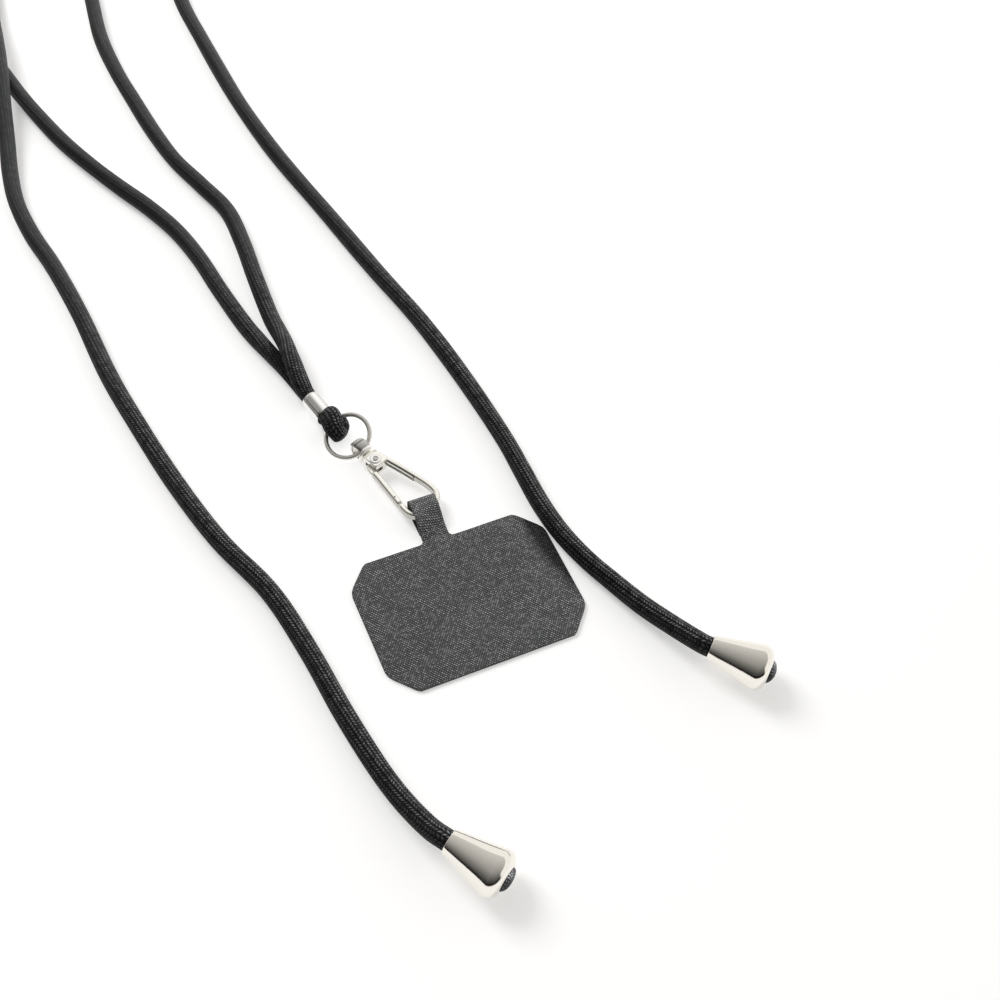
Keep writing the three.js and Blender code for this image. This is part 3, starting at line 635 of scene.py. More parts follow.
# Stations between the point where the strands part (share 0) and the ferrule: the right strand rolls onto the
# left one. turn is a share of the full roll, the others are shares of the cord's diameter.
PARTING_STATIONS = stations(
    "share turn apart width thickness",
    (0, 0, 0, 1, 1), (0.2, 0.09, 0.63, 1, 1), (0.4, 0.3, 0.51, 1.02, 0.93), (0.6, 0.57, 0.43, 1.04, 0.8),
    (0.8, 0.83, 0.35, 1.0, 0.62), (0.92, 0.93, 0.29, 0.92, 0.5),
)
FULL_ROLL = math.pi / 2 + LEAN
FOLD_APART = WIRE_RADIUS + CLEAR + FOLD_THICKNESS / 2 - 0.15
FOLD_TIP = FOLD_REACH - FOLD_THICKNESS / 2
LOWER, UPPER = -1, 1


def fold_place(at):
    if at >= 1:
        return FERRULE_TO_WIRE + (at - 1) * FERRULE_LENGTH
    return at * (FERRULE_TO_WIRE if at > 0 else FOLD_TIP)


def fold_strand(level):
    return [
        {
            "centre": FOLD @ Vector((s["aside"], fold_place(s["at"]), level * s["apart"] * FOLD_APART)),
            "wide": FOLD_ACROSS,
            "width": FOLD_WIDTH * s["width"],
            "thickness": FOLD_THICKNESS * s["thickness"],
        }
        for s in FOLD_STATIONS
    ]


def parting_strand(level):
    at_ferrule = Vector((math.cos(FOLD_YAW), math.sin(FOLD_YAW), 0))
    left, right = route_point(LEFT_ROUTE[0]), route_point(RIGHT_ROUTE[0])
    at_parting = (right - left).normalized()
    mouth = FOLD @ Vector((0, fold_place(2), 0))
    start = left.lerp(right, 0.5)
    rows = []
    for s in PARTING_STATIONS:
        angle = s["turn"] * FULL_ROLL
        across = at_parting.lerp(at_ferrule, s["share"]).normalized()
        half = s["apart"] * CORD_DIAMETER if s["share"] > 0 else (right - left).length / 2
        stack = across * math.cos(angle) + UP * math.sin(angle)
        wide = across * math.sin(angle) - UP * math.cos(angle)
        reach = math.hypot(s["thickness"] * math.sin(angle), s["width"] * math.cos(angle))
        middle = start.lerp(mouth, s["share"])
        middle.z = half * math.sin(angle) + reach * CORD_DIAMETER / 2 + CORD_LIFT * (1 - s["share"])
        rows.append({
            "centre": middle + stack * level * half,
            "wide": wide,
            "width": s["width"] * CORD_DIAMETER,
            "thickness": s["thickness"] * CORD_DIAMETER,
        })
    return rows


def strand_on_table(route, cone):
    """The strand from its first route point to the knot in its cone."""
    matrix = cone_frame(cone)
    points = [route_point(p) for p in route[1:]]
    points += [matrix @ Vector((0, y, 0)) for y in (CONE_LEAD, 0, -CORD_DIAMETER / 2, CLEAR - KNOT_START)]
    return [
        {"centre": p, "wide": -UP, "width": CORD_DIAMETER, "thickness": CORD_DIAMETER} for p in points
    ]


CORD_STEP = 0.8
CORD_SIDES = 40
CORD_LOBES = 8
LOBE_DEPTH = 0.045
LUMP_DEPTH = 0.026
LEAST_HEIGHT = 0.02


def cord_rings(rows, squareness=1.0):
    """Rings round the smooth line through rows, with the ribs and small lumps of a braided cord."""
    line, along = resampled(catmull_rom([r["centre"] for r in rows]), CORD_STEP)

    def eased(values, times):
        return smoothed(np.interp(line[:, 0], np.arange(len(rows)), values), times)

    width = eased([r["width"] for r in rows], 6) / 2
    thickness = eased([r["thickness"] for r in rows], 6) / 2
    wide = np.stack([eased([r["wide"][k] for r in rows], 8) for k in range(3)], axis=1)
    centres = line[:, 1:]
    tangent = unit_tangents(centres)
    wide -= tangent * (wide * tangent).sum(axis=1)[:, None]
    wide /= np.linalg.norm(wide, axis=1)[:, None]
    thick = np.cross(tangent, wide)
    angle = np.linspace(0, 2 * math.pi, CORD_SIDES, endpoint=False)[None, :]
    roundness = np.clip(thickness / width, 0, 1)[:, None] ** 2
    lobe = np.abs(np.cos(CORD_LOBES / 2 * (angle + LOBE_TWIST * along[:, None])))
    lumps = np.sin(along[:, None] / 9.1 + 2 * angle) + np.sin(along[:, None] / 23.7 - angle) * 0.8
    radius = 1 + roundness * (LOBE_DEPTH * (lobe - 0.6) + LUMP_DEPTH * lumps * 0.5)
    cos, sin = np.cos(angle), np.sin(angle)
    cos = np.sign(cos) * np.abs(cos) ** squareness
    sin = np.sign(sin) * np.abs(sin) ** squareness
    rings = (
        centres[:, None, :]
        + wide[:, None, :] * (cos * width[:, None] * radius)[:, :, None]
        + thick[:, None, :] * (sin * thickness[:, None] * radius)[:, :, None]
    )
    rings[:, :, 2] = np.maximum(rings[:, :, 2], LEAST_HEIGHT)
    return rings, along, centres


def make_cords(braid):
    """The two strands, each from inside the ferrule to its cone, and the fold between them."""
    strands = {}
    for name, level, route, cone in (
        ("cord_left", LOWER, LEFT_ROUTE, LEFT_CONE),
        ("cord_right", UPPER, RIGHT_ROUTE, RIGHT_CONE),
    ):
        inside = fold_strand(level)[:2][::-1]
        rows = inside + parting_strand(level)[::-1] + strand_on_table(route, cone)
        rings, along, centres = cord_rings(rows)
        mesh = tube_mesh(rings, along)
        piece = add_piece(name + "_braid", mesh, braid, "strap", name, braided=True)
        strands[name] = {"piece": piece, "path": (centres * MM).tolist()}
    lower, upper = fold_strand(LOWER)[1:], fold_strand(UPPER)[1:]
    tip = {
        "centre": FOLD @ Vector((-0.5, fold_place(-0.93), 0)),
        "wide": FOLD_ACROSS,
        "width": FOLD_WIDTH * 0.62,
        "thickness": FOLD_THICKNESS * 0.9,
    }
    rings, along, _ = cord_rings([*lower, tip, *upper[::-1]], squareness=0.93)
    mesh = tube_mesh(rings, along)
    fold = add_piece("cord_fold_braid", mesh, braid, "strap", "cord_fold", braided=True)
    return strands, fold


# Cones and knots


def cone_end(inset):
    points = []
    for angle in np.linspace(0, math.pi / 2, 15):
        radius = CONE_HOLE_RADIUS + (CONE_LARGE_RADIUS - CONE_HOLE_RADIUS - inset) * math.cos(angle)
        points.append((radius, -CONE_BELLY - (CONE_LENGTH - CONE_BELLY - inset) * math.sin(angle)))
    return points


def make_cone(name, cone, metal):
    small, large = CONE_SMALL_RADIUS, CONE_LARGE_RADIUS
    bore = small - CONE_LIP_WALL
    profile = [
        (bore, 0), (bore + 0.06, 0.1), (small - 0.06, 0.1), (small, 0), (small + 0.06, -CONE_LIP_WALL),
        (small + 0.8, -3.4), (large - 0.75, -10.4), *cone_end(0), *cone_end(CONE_WALL)[::-1],
        (bore, -CONE_WALL),
    ]
    mesh = lathe_mesh(profile, closed=True)
    return add_piece(name + "_shell", mesh, metal, "strap", name, cone_frame(cone))


def make_knot(name, cone, braid):
    neck = CONE_HOLE_RADIUS - CLEAR
    wide = CONE_BELLY - KNOT_START
    bulge = cone["knot_bulge"]
    tip = CONE_LENGTH + bulge
    profile = [
        (0, tip), (neck * 0.3, tip - bulge * 0.05), (neck * 0.6, tip - bulge * 0.22),
        (neck * 0.83, tip - bulge * 0.48), (neck * 0.97, tip - bulge * 0.8), (neck, CONE_LENGTH),
        (neck, CONE_LENGTH - CONE_WALL), (KNOT_RADIUS * 0.93, CONE_BELLY + CLEAR),
        (KNOT_RADIUS, CONE_BELLY - wide * 0.3), (KNOT_RADIUS * 0.95, KNOT_START + wide * 0.35),
        (KNOT_RADIUS * 0.6, KNOT_START + wide * 0.08), (0, KNOT_START),
    ]
    points, faces, uv = lathe_mesh([(radius, -depth) for radius, depth in profile], 64)
    points = np.array(points)
    angle = np.arctan2(points[:, 2], points[:, 0])
    lumps = 1 + 0.05 * np.sin(3 * angle + points[:, 1]) + 0.03 * np.cos(5 * angle - points[:, 1] * 1.7)
    points[:, [0, 2]] *= lumps[:, None]
    mesh = (points, faces, uv)
    return add_piece(name + "_braid", mesh, braid, "strap", name, cone_frame(cone), braided=True)


# Ferrule, ring and swivel eye

SEAM_AT = math.radians(118)
SEAM_HALF_WIDTH = 0.09
SEAM_DEPTH = 0.035


def make_ferrule(metal):
    lip = FERRULE_WALL * 0.45
    outer = FERRULE_RADIUS
    inner = outer - FERRULE_WALL
    start, end = FERRULE_TO_WIRE, FERRULE_TO_WIRE + FERRULE_LENGTH
    profile = [
        (inner, start), (inner + lip * 0.4, start - lip * 0.5), (outer - lip * 0.5, start - lip * 0.3),
        (outer, start + lip * 0.6), (outer, start + 1), (outer, end - 1), (outer, end - lip * 0.6),
        (outer - lip * 0.5, end + lip * 0.3), (inner + lip * 0.4, end + lip * 0.5), (inner, end),
        (inner, end - 1), (inner, start + 1),
    ]
    points, faces, _ = lathe_mesh(profile, closed=True)
    points = np.array(points)
    from_seam = np.arctan2(points[:, 2], points[:, 0]) - SEAM_AT
    seam = np.exp(-((from_seam / SEAM_HALF_WIDTH) ** 2))
    outside = np.hypot(points[:, 0], points[:, 2]) > outer - 0.05
    points[:, [0, 2]] *= (1 - SEAM_DEPTH * seam * outside)[:, None]
    return add_piece("ferrule_sleeve", (points, faces), metal, "strap", "ferrule", FOLD)


def make_ring(metal):
    wire = np.linspace(0, 2 * math.pi, 28, endpoint=False)[::-1]
    away = RING_RADIUS + WIRE_PLATED_RADIUS * np.cos(wire)
    height = WIRE_PLATED_RADIUS * np.sin(wire)
    rings = [
        np.stack([away * math.cos(angle), away * math.sin(angle), height], axis=1)
        for angle in np.linspace(0, 2 * math.pi, 160, endpoint=False)
    ]
    mesh = tube_mesh(rings, caps=False, closed=True)
    return add_piece("ring_wire", mesh, metal, "strap", "ring", RING)


def bevelled(piece, width, segments=3, angle=35.0):
    bevel = piece.modifiers.new("edges", "BEVEL")
    bevel.width = width * MM
    bevel.segments = segments
    bevel.limit_method = "ANGLE"
    bevel.angle_limit = math.radians(angle)
    bevel.harden_normals = False
    return piece


def sharpened(piece, angle):
    piece.data.shade_smooth()
    piece.data.set_sharp_from_angle(angle=math.radians(angle))
    return piece


def apply_modifiers(piece):
    graph = bpy.context.evaluated_depsgraph_get()
    mesh = bpy.data.meshes.new_from_object(piece.evaluated_get(graph))
    piece.modifiers.clear()
    piece.data = mesh
    return piece


def prism(outline, low, high):
    """Points and faces of an upright prism on a counter-clockwise outline."""
    count = len(outline)
    points = [(x, y, low) for x, y in outline] + [(x, y, high) for x, y in outline]
    faces = [tuple(range(count))[::-1], tuple(range(count, 2 * count))]
    faces += [(i, (i + 1) % count, count + (i + 1) % count, count + i) for i in range(count)]
    return points, faces


def rounded_outline(corners, radii, steps=6):
    """Outline with each corner replaced by a smooth curve that starts its radius away from the corner."""
    outline = []
    count = len(corners)
    for index, (corner, radius) in enumerate(zip(corners, radii)):
        corner = Vector(corner)
        before, after = Vector(corners[index - 1]), Vector(corners[(index + 1) % count])
        start = corner.lerp(before, min(0.45, radius / (before - corner).length))
        end = corner.lerp(after, min(0.45, radius / (after - corner).length))
        for step in range(steps + 1):
            t = step / steps
            point = start * (1 - t) ** 2 + corner * 2 * t * (1 - t) + end * t**2
            outline.append((point.x, point.y))
    return outline


def cut_by(piece, cutters):
    """Cuts closed meshes out of a piece and removes them."""
    for points, faces in cutters:
        mesh = bpy.data.meshes.new("cutter")
        mesh.from_pydata([tuple(HOOK @ Vector(p) * MM) for p in points], [], faces)
        cutter = bpy.data.objects.new("cutter", mesh)
        bpy.context.scene.collection.objects.link(cutter)
        boolean = piece.modifiers.new("cut", "BOOLEAN")
        boolean.operation = "DIFFERENCE"
        boolean.solver = "EXACT"
        boolean.object = cutter
        apply_modifiers(piece)
        bpy.data.objects.remove(cutter)
    return piece


EYE_GROOVES = (math.radians(44), math.radians(62), math.radians(80))
GROOVE_DEPTH = 0.26
GROOVE_HALF_WIDTH = 0.08
BAND_SHARP_ANGLE = 50
BAND_BOW = 0.34


def eye_section(groove):
    """Section of the eye's band as (x, outward): a bowed outer face and a flat inner one."""
    half, inner = EYE_WIDTH / 2, -EYE_WALL / 2
    section = []
    for x in np.linspace(-half, half, 31):
        bow = BAND_BOW * (abs(x) / half) ** 4
        section.append((x, -inner - bow - groove))
    section += [(half - 0.05, inner + 0.1), (half - 0.2, inner)]
    section += [(x, inner) for x in np.linspace(half - 0.5, 0.5 - half, 6)]
    section += [(0.2 - half, inner), (0.05 - half, inner + 0.1)]
    return section


HOOK_BODIES = {"swivel_eye": "strap", "hook_body": "hook", "gate_pin": "hook", "gate": "gate"}


def hook_piece(name, mesh, material, node, smooth=True):
    """Piece of the hook or its eye, made in the hook's frame."""
    return add_piece(name, mesh, material, HOOK_BODIES[node], node, HOOK, smooth)


def make_eye(metal):
    """The eye's band goes up over the ring's wire and down behind it, with the hole's axis along X."""
    outer = EYE_HOLE_RADIUS + EYE_WALL
    middle = EYE_HOLE_RADIUS + EYE_WALL / 2
    foot = FLANGE_END - 0.25
    line = [(foot, -middle * 0.88), ((foot + EYE_CENTRE) / 2, -middle * 0.97)]
    bends = np.linspace(-math.pi / 2, math.pi / 2, 121)
    line += [(EYE_CENTRE + middle * math.cos(a), middle * math.sin(a)) for a in bends]
    line += [((foot + EYE_CENTRE) / 2, middle * 0.97), (foot, middle * 0.88)]
    line = np.array(line)
    rings = []
    for (y, z), (ty, tz) in zip(line, unit_tangents(line)):
        bend = math.atan2(z, y - EYE_CENTRE)
        groove = sum(GROOVE_DEPTH * math.exp(-(((bend - at) / GROOVE_HALF_WIDTH) ** 2)) for at in EYE_GROOVES)
        above, below = (y - EYE_CENTRE) / middle, (EYE_CENTRE - y) / (EYE_CENTRE - foot)
        narrow = 1 - 0.1 * max(0, above) - 0.16 * max(0, below)
        rings.append([(x * narrow, y + tz * out, z - ty * out) for x, out in eye_section(groove)])
    band = sharpened(hook_piece("swivel_band", tube_mesh(rings), metal, "swivel_eye"), BAND_SHARP_ANGLE)
    start, end = FLANGE_START, FLANGE_END
    flange = [
        (0, start), (FLANGE_RADIUS - 0.25, start), (FLANGE_RADIUS - 0.06, start + 0.08),
        (FLANGE_RADIUS, start + 0.3), (FLANGE_RADIUS - 0.1, end - 0.08), (FLANGE_RADIUS - 0.35, end),
        (outer * 0.8, end + 0.12), (0, end + 0.3),
    ]
    shaft = [(0, BLOCK_TOP - 0.7), (0.95, BLOCK_TOP - 0.7), (0.95, start + 0.2), (0, start + 0.2)]
    return [band] + [
        hook_piece(name, lathe_mesh(profile[::-1], 64), metal, "swivel_eye")
        for name, profile in (("swivel_flange", flange), ("swivel_shaft", shaft))
    ]


# Hook, gate and rivet

# Middle of the hook's arm and bar, as shares of the hook's half width and length
HOOK_LINE = [
    (0.36, 0.11), (0.46, -0.02), (0.66, -0.26), (0.82, -0.49), (0.94, -0.7), (0.95, -0.8), (0.89, -0.89),
    (0.7, -0.965), (0.35, -1), (-0.45, -1), (-0.86, -0.965), (-1.04, -0.88), (-1, -0.72),
]
ARM_SQUARENESS = 0.6
END_TAPER = 0.14
CHANNEL_SHARES = (0.115, 0.37)
BLOCK_CORNERS = (1.1, 0.7, 1.0, 1.0)
BLOCK_EDGE = 0.34
BLOCK_SHARP_ANGLE = 38
NECK_EDGE = 0.2
NECK_SHARP_ANGLE = 40
NECK_CORNER = 0.8


def arm_rings(line, widths, heights, sides=32):
    """Rings of a rounded bar along a level line, in the hook's frame."""
    line = np.array(line, dtype=float)
    rings = []
    for (x, y), (tx, ty), width, height in zip(line, unit_tangents(line), widths, heights):
        ring = []
        for a in np.linspace(0, 2 * math.pi, sides, endpoint=False):
            c, s = (math.copysign(abs(v) ** ARM_SQUARENESS, v) for v in (math.cos(a), math.sin(a)))
            ring.append((x - ty * c * width / 2, y + tx * c * width / 2, s * height / 2))
        rings.append(ring)
    return rings


def hook_centre_line():
    points = [(side * HOOK_HALF_WIDTH, along * HOOK_LENGTH, 0) for side, along in HOOK_LINE]
    line, _ = resampled(catmull_rom(points), 0.45)
    return line[:, 1:3]


def tapered_ends(count, size):
    sizes = np.full(count, float(size))
    for index, share in enumerate((1, 0.5)):
        sizes[[index, -1 - index]] *= 1 - END_TAPER * share
    return sizes


def channel_bar(line, offset, width, height, rise, sides):
    """Thin bar along the inner side of the right arm, a distance from its surface."""
    tangent = unit_tangents(line)
    shifted = line + np.stack([tangent[:, 1], -tangent[:, 0]], axis=1) * (ARM_WIDTH / 2 + offset)
    rings = np.array(arm_rings(shifted, np.full(len(line), width), np.full(len(line), height), sides))
    rings[:, :, 2] += rise
    return tube_mesh(rings)


def make_block(metal):
    half, side = BLOCK_HEIGHT / 2, BLOCK_WIDTH / 2
    corners = [(-side, -BLOCK_BOTTOM), (side, -BLOCK_BOTTOM), (side, BLOCK_TOP), (-side, BLOCK_TOP)]
    mesh = prism(rounded_outline(corners, BLOCK_CORNERS), -half, half)
    block = hook_piece("hook_block", mesh, metal, "hook_body", smooth=False)
    bevelled(block, BLOCK_EDGE, 4, 50)
    apply_modifiers(block)
    wall = side - SLOT_SIDE_WALL
    slot = prism(
        [(-side - 3, -BLOCK_BOTTOM - 1), (SLOT_MOUTH, -BLOCK_BOTTOM - 1), (SLOT_MOUTH, -SLOT_SHELF),
         (wall, -SLOT_SHELF), (wall, SLOT_TOP), (-side - 3, SLOT_TOP)],
        -SLOT_HEIGHT / 2, SLOT_CEILING,
    )
    # The upper edge towards the eye slopes down to the flange
    slope_start = BLOCK_TOP * 0.55
    slope = [
        (half - 0.12, slope_start), (half + 1, slope_start), (half + 1, BLOCK_TOP + 1), (0.75, BLOCK_TOP + 1),
    ]
    wedge = [(x, y, z) for x in (-side - 1, side + 1) for z, y in slope]
    wedge_faces = [(0, 1, 2, 3), (7, 6, 5, 4), (0, 4, 5, 1), (1, 5, 6, 2), (2, 6, 7, 3), (3, 7, 4, 0)]
    angles = np.linspace(0, 2 * math.pi, 48, endpoint=False)
    seat = RIVET_HEAD_RADIUS + 0.05
    seats = [
        prism([(RIVET_SIDE + seat * math.cos(a), seat * math.sin(a)) for a in angles], low, high)
        for low, high in ((half - 0.25, half + 1), (-half - 1, 0.25 - half))
    ]
    cut_by(block, [slot, (wedge, wedge_faces), *seats])
    block.modifiers.new("normals", "WEIGHTED_NORMAL").keep_sharp = True
    return sharpened(block, BLOCK_SHARP_ANGLE)


def make_hook(metal, side_metal, dark):
    line = hook_centre_line()
    count = len(line)
    rings = arm_rings(line, tapered_ends(count, ARM_WIDTH), tapered_ends(count, ARM_HEIGHT))
    made = [hook_piece("hook_arm", tube_mesh(rings), side_metal, "hook_body"), make_block(metal)]
    # The spring channel on the inner side of the right arm: a thin lip, and thin dark bars for the groove
    # under it and the lip's edge, which stand for the channel's shade: painted shade
    start, end = (int(count * share) for share in CHANNEL_SHARES)
    for name, material, offset, width, height, rise, sides in (
        ("lip", metal, 0.28, 0.62, 0.9, 0.6, 20),
        ("groove", dark, -0.01, 0.2, 2.3, 0.0, 16),
        ("edge", dark, 0.55, 0.2, 0.8, 0.5, 16),
    ):
        mesh = channel_bar(line[start:end], offset, width, height, rise, sides)
        made.append(hook_piece("hook_channel_" + name, mesh, material, "hook_body"))
    return made


def turned_on_rivet(profile):
    """Lathe mesh from (radius, height) points, turned about the rivet's upright axis."""
    points, faces, _ = lathe_mesh(profile, 64)
    return [(x + RIVET_SIDE, -z, y) for x, y, z in points], faces


def make_rivet(bright, dark):
    """Rivet with a raised bright rim and a darker domed middle at both ends."""
    top = BLOCK_HEIGHT / 2 + 0.22
    seat = BLOCK_HEIGHT / 2 - 0.3
    head = RIVET_HEAD_RADIUS
    rim = [
        (0, top - 0.16), (0.46 * head, top - 0.16), (0.5 * head, top - 0.06), (0.58 * head, top + 0.03),
        (0.78 * head, top + 0.02), (0.93 * head, top - 0.06), (head, top - 0.2), (head, seat), (0.8, seat),
    ]
    middle = [
        (0, top + 0.08), (0.16 * head, top + 0.06), (0.31 * head, top), (0.42 * head, top - 0.1),
        (0.45 * head, top - 0.2), (0, top - 0.2),
    ]
    mesh = turned_on_rivet(rim + [(radius, -height) for radius, height in rim[::-1]])
    made = [hook_piece("gate_rivet", mesh, bright, "gate_pin")]
    for name, side in (("upper", 1), ("lower", -1)):
        mesh = turned_on_rivet([(radius, height * side) for radius, height in middle])
        made.append(hook_piece("gate_rivet_" + name, mesh, dark, "gate_pin"))
    return made


def make_gate(metal, dark):
    nose = np.array(HOOK_LINE[-1]) * (HOOK_HALF_WIDTH, HOOK_LENGTH)
    tip = nose + (0, CLEAR)
    shoulder = np.array([-BLOCK_WIDTH / 2 - GATE_WIDTH * 0.6, -BLOCK_BOTTOM - CLEAR])
    shares = np.linspace(0, 1, 30)
    line = shoulder + (tip - shoulder) * shares[:, None]
    widths = GATE_WIDTH * (0.98 + 0.06 * np.sin(shares * math.pi))
    widths[[0, -1]] *= 1 - END_TAPER
    heights = np.full(len(shares), ARM_HEIGHT - 0.05)
    heights[[0, -1]] *= (1 - END_TAPER, 0.9)
    inward = np.array([tip[1] - shoulder[1], shoulder[0] - tip[0]]) / np.linalg.norm(tip - shoulder)
    inward *= -1 if inward[0] < 0 else 1
    line = line + inward * GATE_INNER_WIDTH / 2 * np.sin(np.clip(shares * 4, 0, 1) * math.pi / 2)[:, None]
    widths += GATE_INNER_WIDTH
    arm = hook_piece("gate_arm", tube_mesh(arm_rings(line, widths, heights)), metal, "gate")
    low, high = CLEAR * 0.7 - SLOT_HEIGHT / 2, SLOT_CEILING - CLEAR * 0.5
    outer, inner = shoulder[0] - GATE_WIDTH * 0.4, shoulder[0] + GATE_WIDTH * 0.4
    outline = rounded_outline(
        [(RIVET_SIDE, HUB_RADIUS), (shoulder[0] + 0.2, HUB_RADIUS * 0.7), (outer, -HUB_RADIUS * 0.8),
         (outer, shoulder[1] - 1.0), (inner, shoulder[1] - 1.0), (inner + 0.6, -BLOCK_BOTTOM * 0.85),
         (RIVET_SIDE + 1.4, -HUB_RADIUS * 0.7), (RIVET_SIDE + HUB_RADIUS, HUB_RADIUS * 0.5)],
        (NECK_CORNER,) * 8,
    )
    points, faces = prism(outline[::-1], low, high)
    mesh = (points, [face[::-1] for face in faces])
    neck = hook_piece("gate_neck", mesh, metal, "gate", smooth=False)
    sharpened(bevelled(neck, NECK_EDGE), NECK_SHARP_ANGLE)
    # The end of the spring's pin shows in the gate near its tip
    pin_at = shoulder + (tip - shoulder) * 0.82
    profile = [(0, 0.1), (0.2, 0.09), (0.26, 0.02), (0.28, -0.3), (0, -0.3)]
    points, faces, _ = lathe_mesh(profile, 24)
    points = [(x + pin_at[0], -z + pin_at[1], y + ARM_HEIGHT / 2 - 0.02) for x, y, z in points]
    return [arm, neck, hook_piece("gate_spring_pin", (points, faces), dark, "gate")]


# Patch and its tab

BAR_RISE = 4.4
ROOT_LEFT = TAB_LEFT - TAB_FILLET
ROOT_RIGHT = TAB_RIGHT + TAB_FILLET
COLUMNS_LEFT = 30
COLUMNS_TAB = 12
COLUMNS_RIGHT = 34
CUT_ROWS = 10
MIDDLE_ROWS = 42
END_ROW = 0.25
END_ROWS = 0.8
CURL_SHARE = 0.6
CLOTH_EDGE = 0.16
CLOTH_SHARP_ANGLE = 50
FOLD_SLACK = 0.55
ROLL_HEIGHT = 0.6
WAVE_HEIGHT = 0.12
LOOP_INSIDE = HOOK_ORIGIN.z + ARM_HEIGHT / 2 + CLEAR
TAB_END = PATCH_LENGTH / 2 + TAB_LENGTH
BAR_HALF = ARM_WIDTH / 2 / math.cos(HOOK_YAW)
BAR_AT_MIDDLE = TAB_END - FABRIC - FOLD_SLACK - BAR_HALF - BAR_RISE * math.tan(HOOK_YAW)


def tab_edge(x):
    """Middle of the fabric at one place across the tab, as (y, z), from the patch over the bar and back."""
    root = PATCH_LENGTH / 2
    shoulder = BAR_AT_MIDDLE + x * math.tan(HOOK_YAW) - BAR_HALF - CLEAR
    mouth = (root + shoulder) / 2
    low = FABRIC / 2
    fold_start = TAB_END - TAB_FOLD_RADIUS - FABRIC / 2
    over = min(shoulder + FABRIC, fold_start - FABRIC * 0.2)
    points = [
        (root, low), (root + TAB_FILLET, low), (mouth - FABRIC, FABRIC * 1.2), (mouth, FABRIC * 1.6),
        (shoulder - FABRIC * 0.4, LOOP_INSIDE - FABRIC * 0.1), (over, LOOP_INSIDE + low),
    ]
    for bend in range(9):
        angle = math.pi / 2 - bend / 8 * math.pi
        middle = LOOP_INSIDE - TAB_FOLD_RADIUS if bend < 4 else TAB_FOLD_RADIUS
        points.append((fold_start + math.cos(angle) * TAB_FOLD_RADIUS,
                       middle + low + math.sin(angle) * TAB_FOLD_RADIUS))
    points.append((mouth + 0.6, low))
    return points


def curl(x, y):
    """Height of the lying patch above the table: nearly flat, with a soft roll down at its right edge."""
    roll = math.exp(-(((x - 19) / 7) ** 2)) * (0.5 + 0.5 * math.tanh((y + 12) / 9))
    return ROLL_HEIGHT * roll + WAVE_HEIGHT * (math.sin(x / 11 + 1.3) * math.cos(y / 13) + 1)


def side_at(y):
    """Half the patch's width at a distance from its middle, with the corners cut and a little rounded."""
    cut_x, cut_y = CORNER_CUT
    straight = PATCH_LENGTH / 2 - cut_y
    if abs(y) <= straight:
        return PATCH_WIDTH / 2
    return PATCH_WIDTH / 2 - cut_x * (abs(y) - straight) / cut_y


def softened(distance, depth, reach):
    return depth * math.exp(-((distance / reach) ** 2))


def sheet_rows():
    """Rows of (x, y) over the flat patch, with columns that go on into the tab."""
    root = PATCH_LENGTH / 2
    cut_start = root - CORNER_CUT[1]
    ys = [-root, -root + END_ROW, *np.linspace(-root + END_ROWS, -cut_start, CUT_ROWS)]
    ys += [*np.linspace(-cut_start, cut_start, MIDDLE_ROWS)][1:]
    ys += [*np.linspace(cut_start, root - END_ROWS, CUT_ROWS)][1:] + [root - END_ROW, root]
    rows = []
    for y in ys:
        half = side_at(y) - softened(abs(y) - cut_start, 0.35, 0.8) - softened(abs(y) - root, 0.5, 0.3)
        xs = [
            *np.linspace(-half, ROOT_LEFT, COLUMNS_LEFT, endpoint=False),
            *np.linspace(ROOT_LEFT, ROOT_RIGHT, COLUMNS_TAB, endpoint=False),
            *np.linspace(ROOT_RIGHT, half, COLUMNS_RIGHT + 1),
        ]
        rows.append([(x, y) for x in xs])
    return rows


def lying_height(x, y):
    """Middle of the lying cloth, which is flat at both ends and where the tab leaves it."""
    root = PATCH_LENGTH / 2
    flat = min(1.0, max(0.0, (root - y) / 4)) if ROOT_LEFT <= x <= ROOT_RIGHT else 1.0
    near_end = min(1, (root + 0.5 - abs(y)) / 3)
    return FABRIC / 2 + curl(x, y) * flat * CURL_SHARE * near_end


def add_tab(points, faces, previous):
    """Adds the tab's rows to the sheet, from its root over the bar and back."""
    root = PATCH_LENGTH / 2
    edges = [catmull_rom([(0, *p) for p in tab_edge(x)], 6)[:, 2:] for x in (TAB_LEFT, TAB_RIGHT)]
    steps = len(edges[0])
    for step in range(1, steps):
        left, right = edges[0][step], edges[1][step]
        at_root = left[1] < FABRIC and step < steps / 2
        away = min(1.0, (left[0] - root) / TAB_FILLET) if at_root else 1.0
        flare = TAB_FILLET * (1 - math.sqrt(max(0.0, 1 - (1 - away) ** 2)) if away < 1 else 0)
        row = []
        for column in range(COLUMNS_TAB + 1):
            share = column / COLUMNS_TAB
            x = TAB_LEFT - flare + (TAB_RIGHT - TAB_LEFT + 2 * flare) * share
            y, z = left * (1 - share) + right * share
            sag = -TAB_SAG * math.sin(share * math.pi) if 4 < step < steps * 0.4 else 0
            row.append(len(points))
            points.append((x, y, z + sag))
        faces += [(previous[c], previous[c + 1], row[c + 1], row[c]) for c in range(COLUMNS_TAB)]
        previous = row


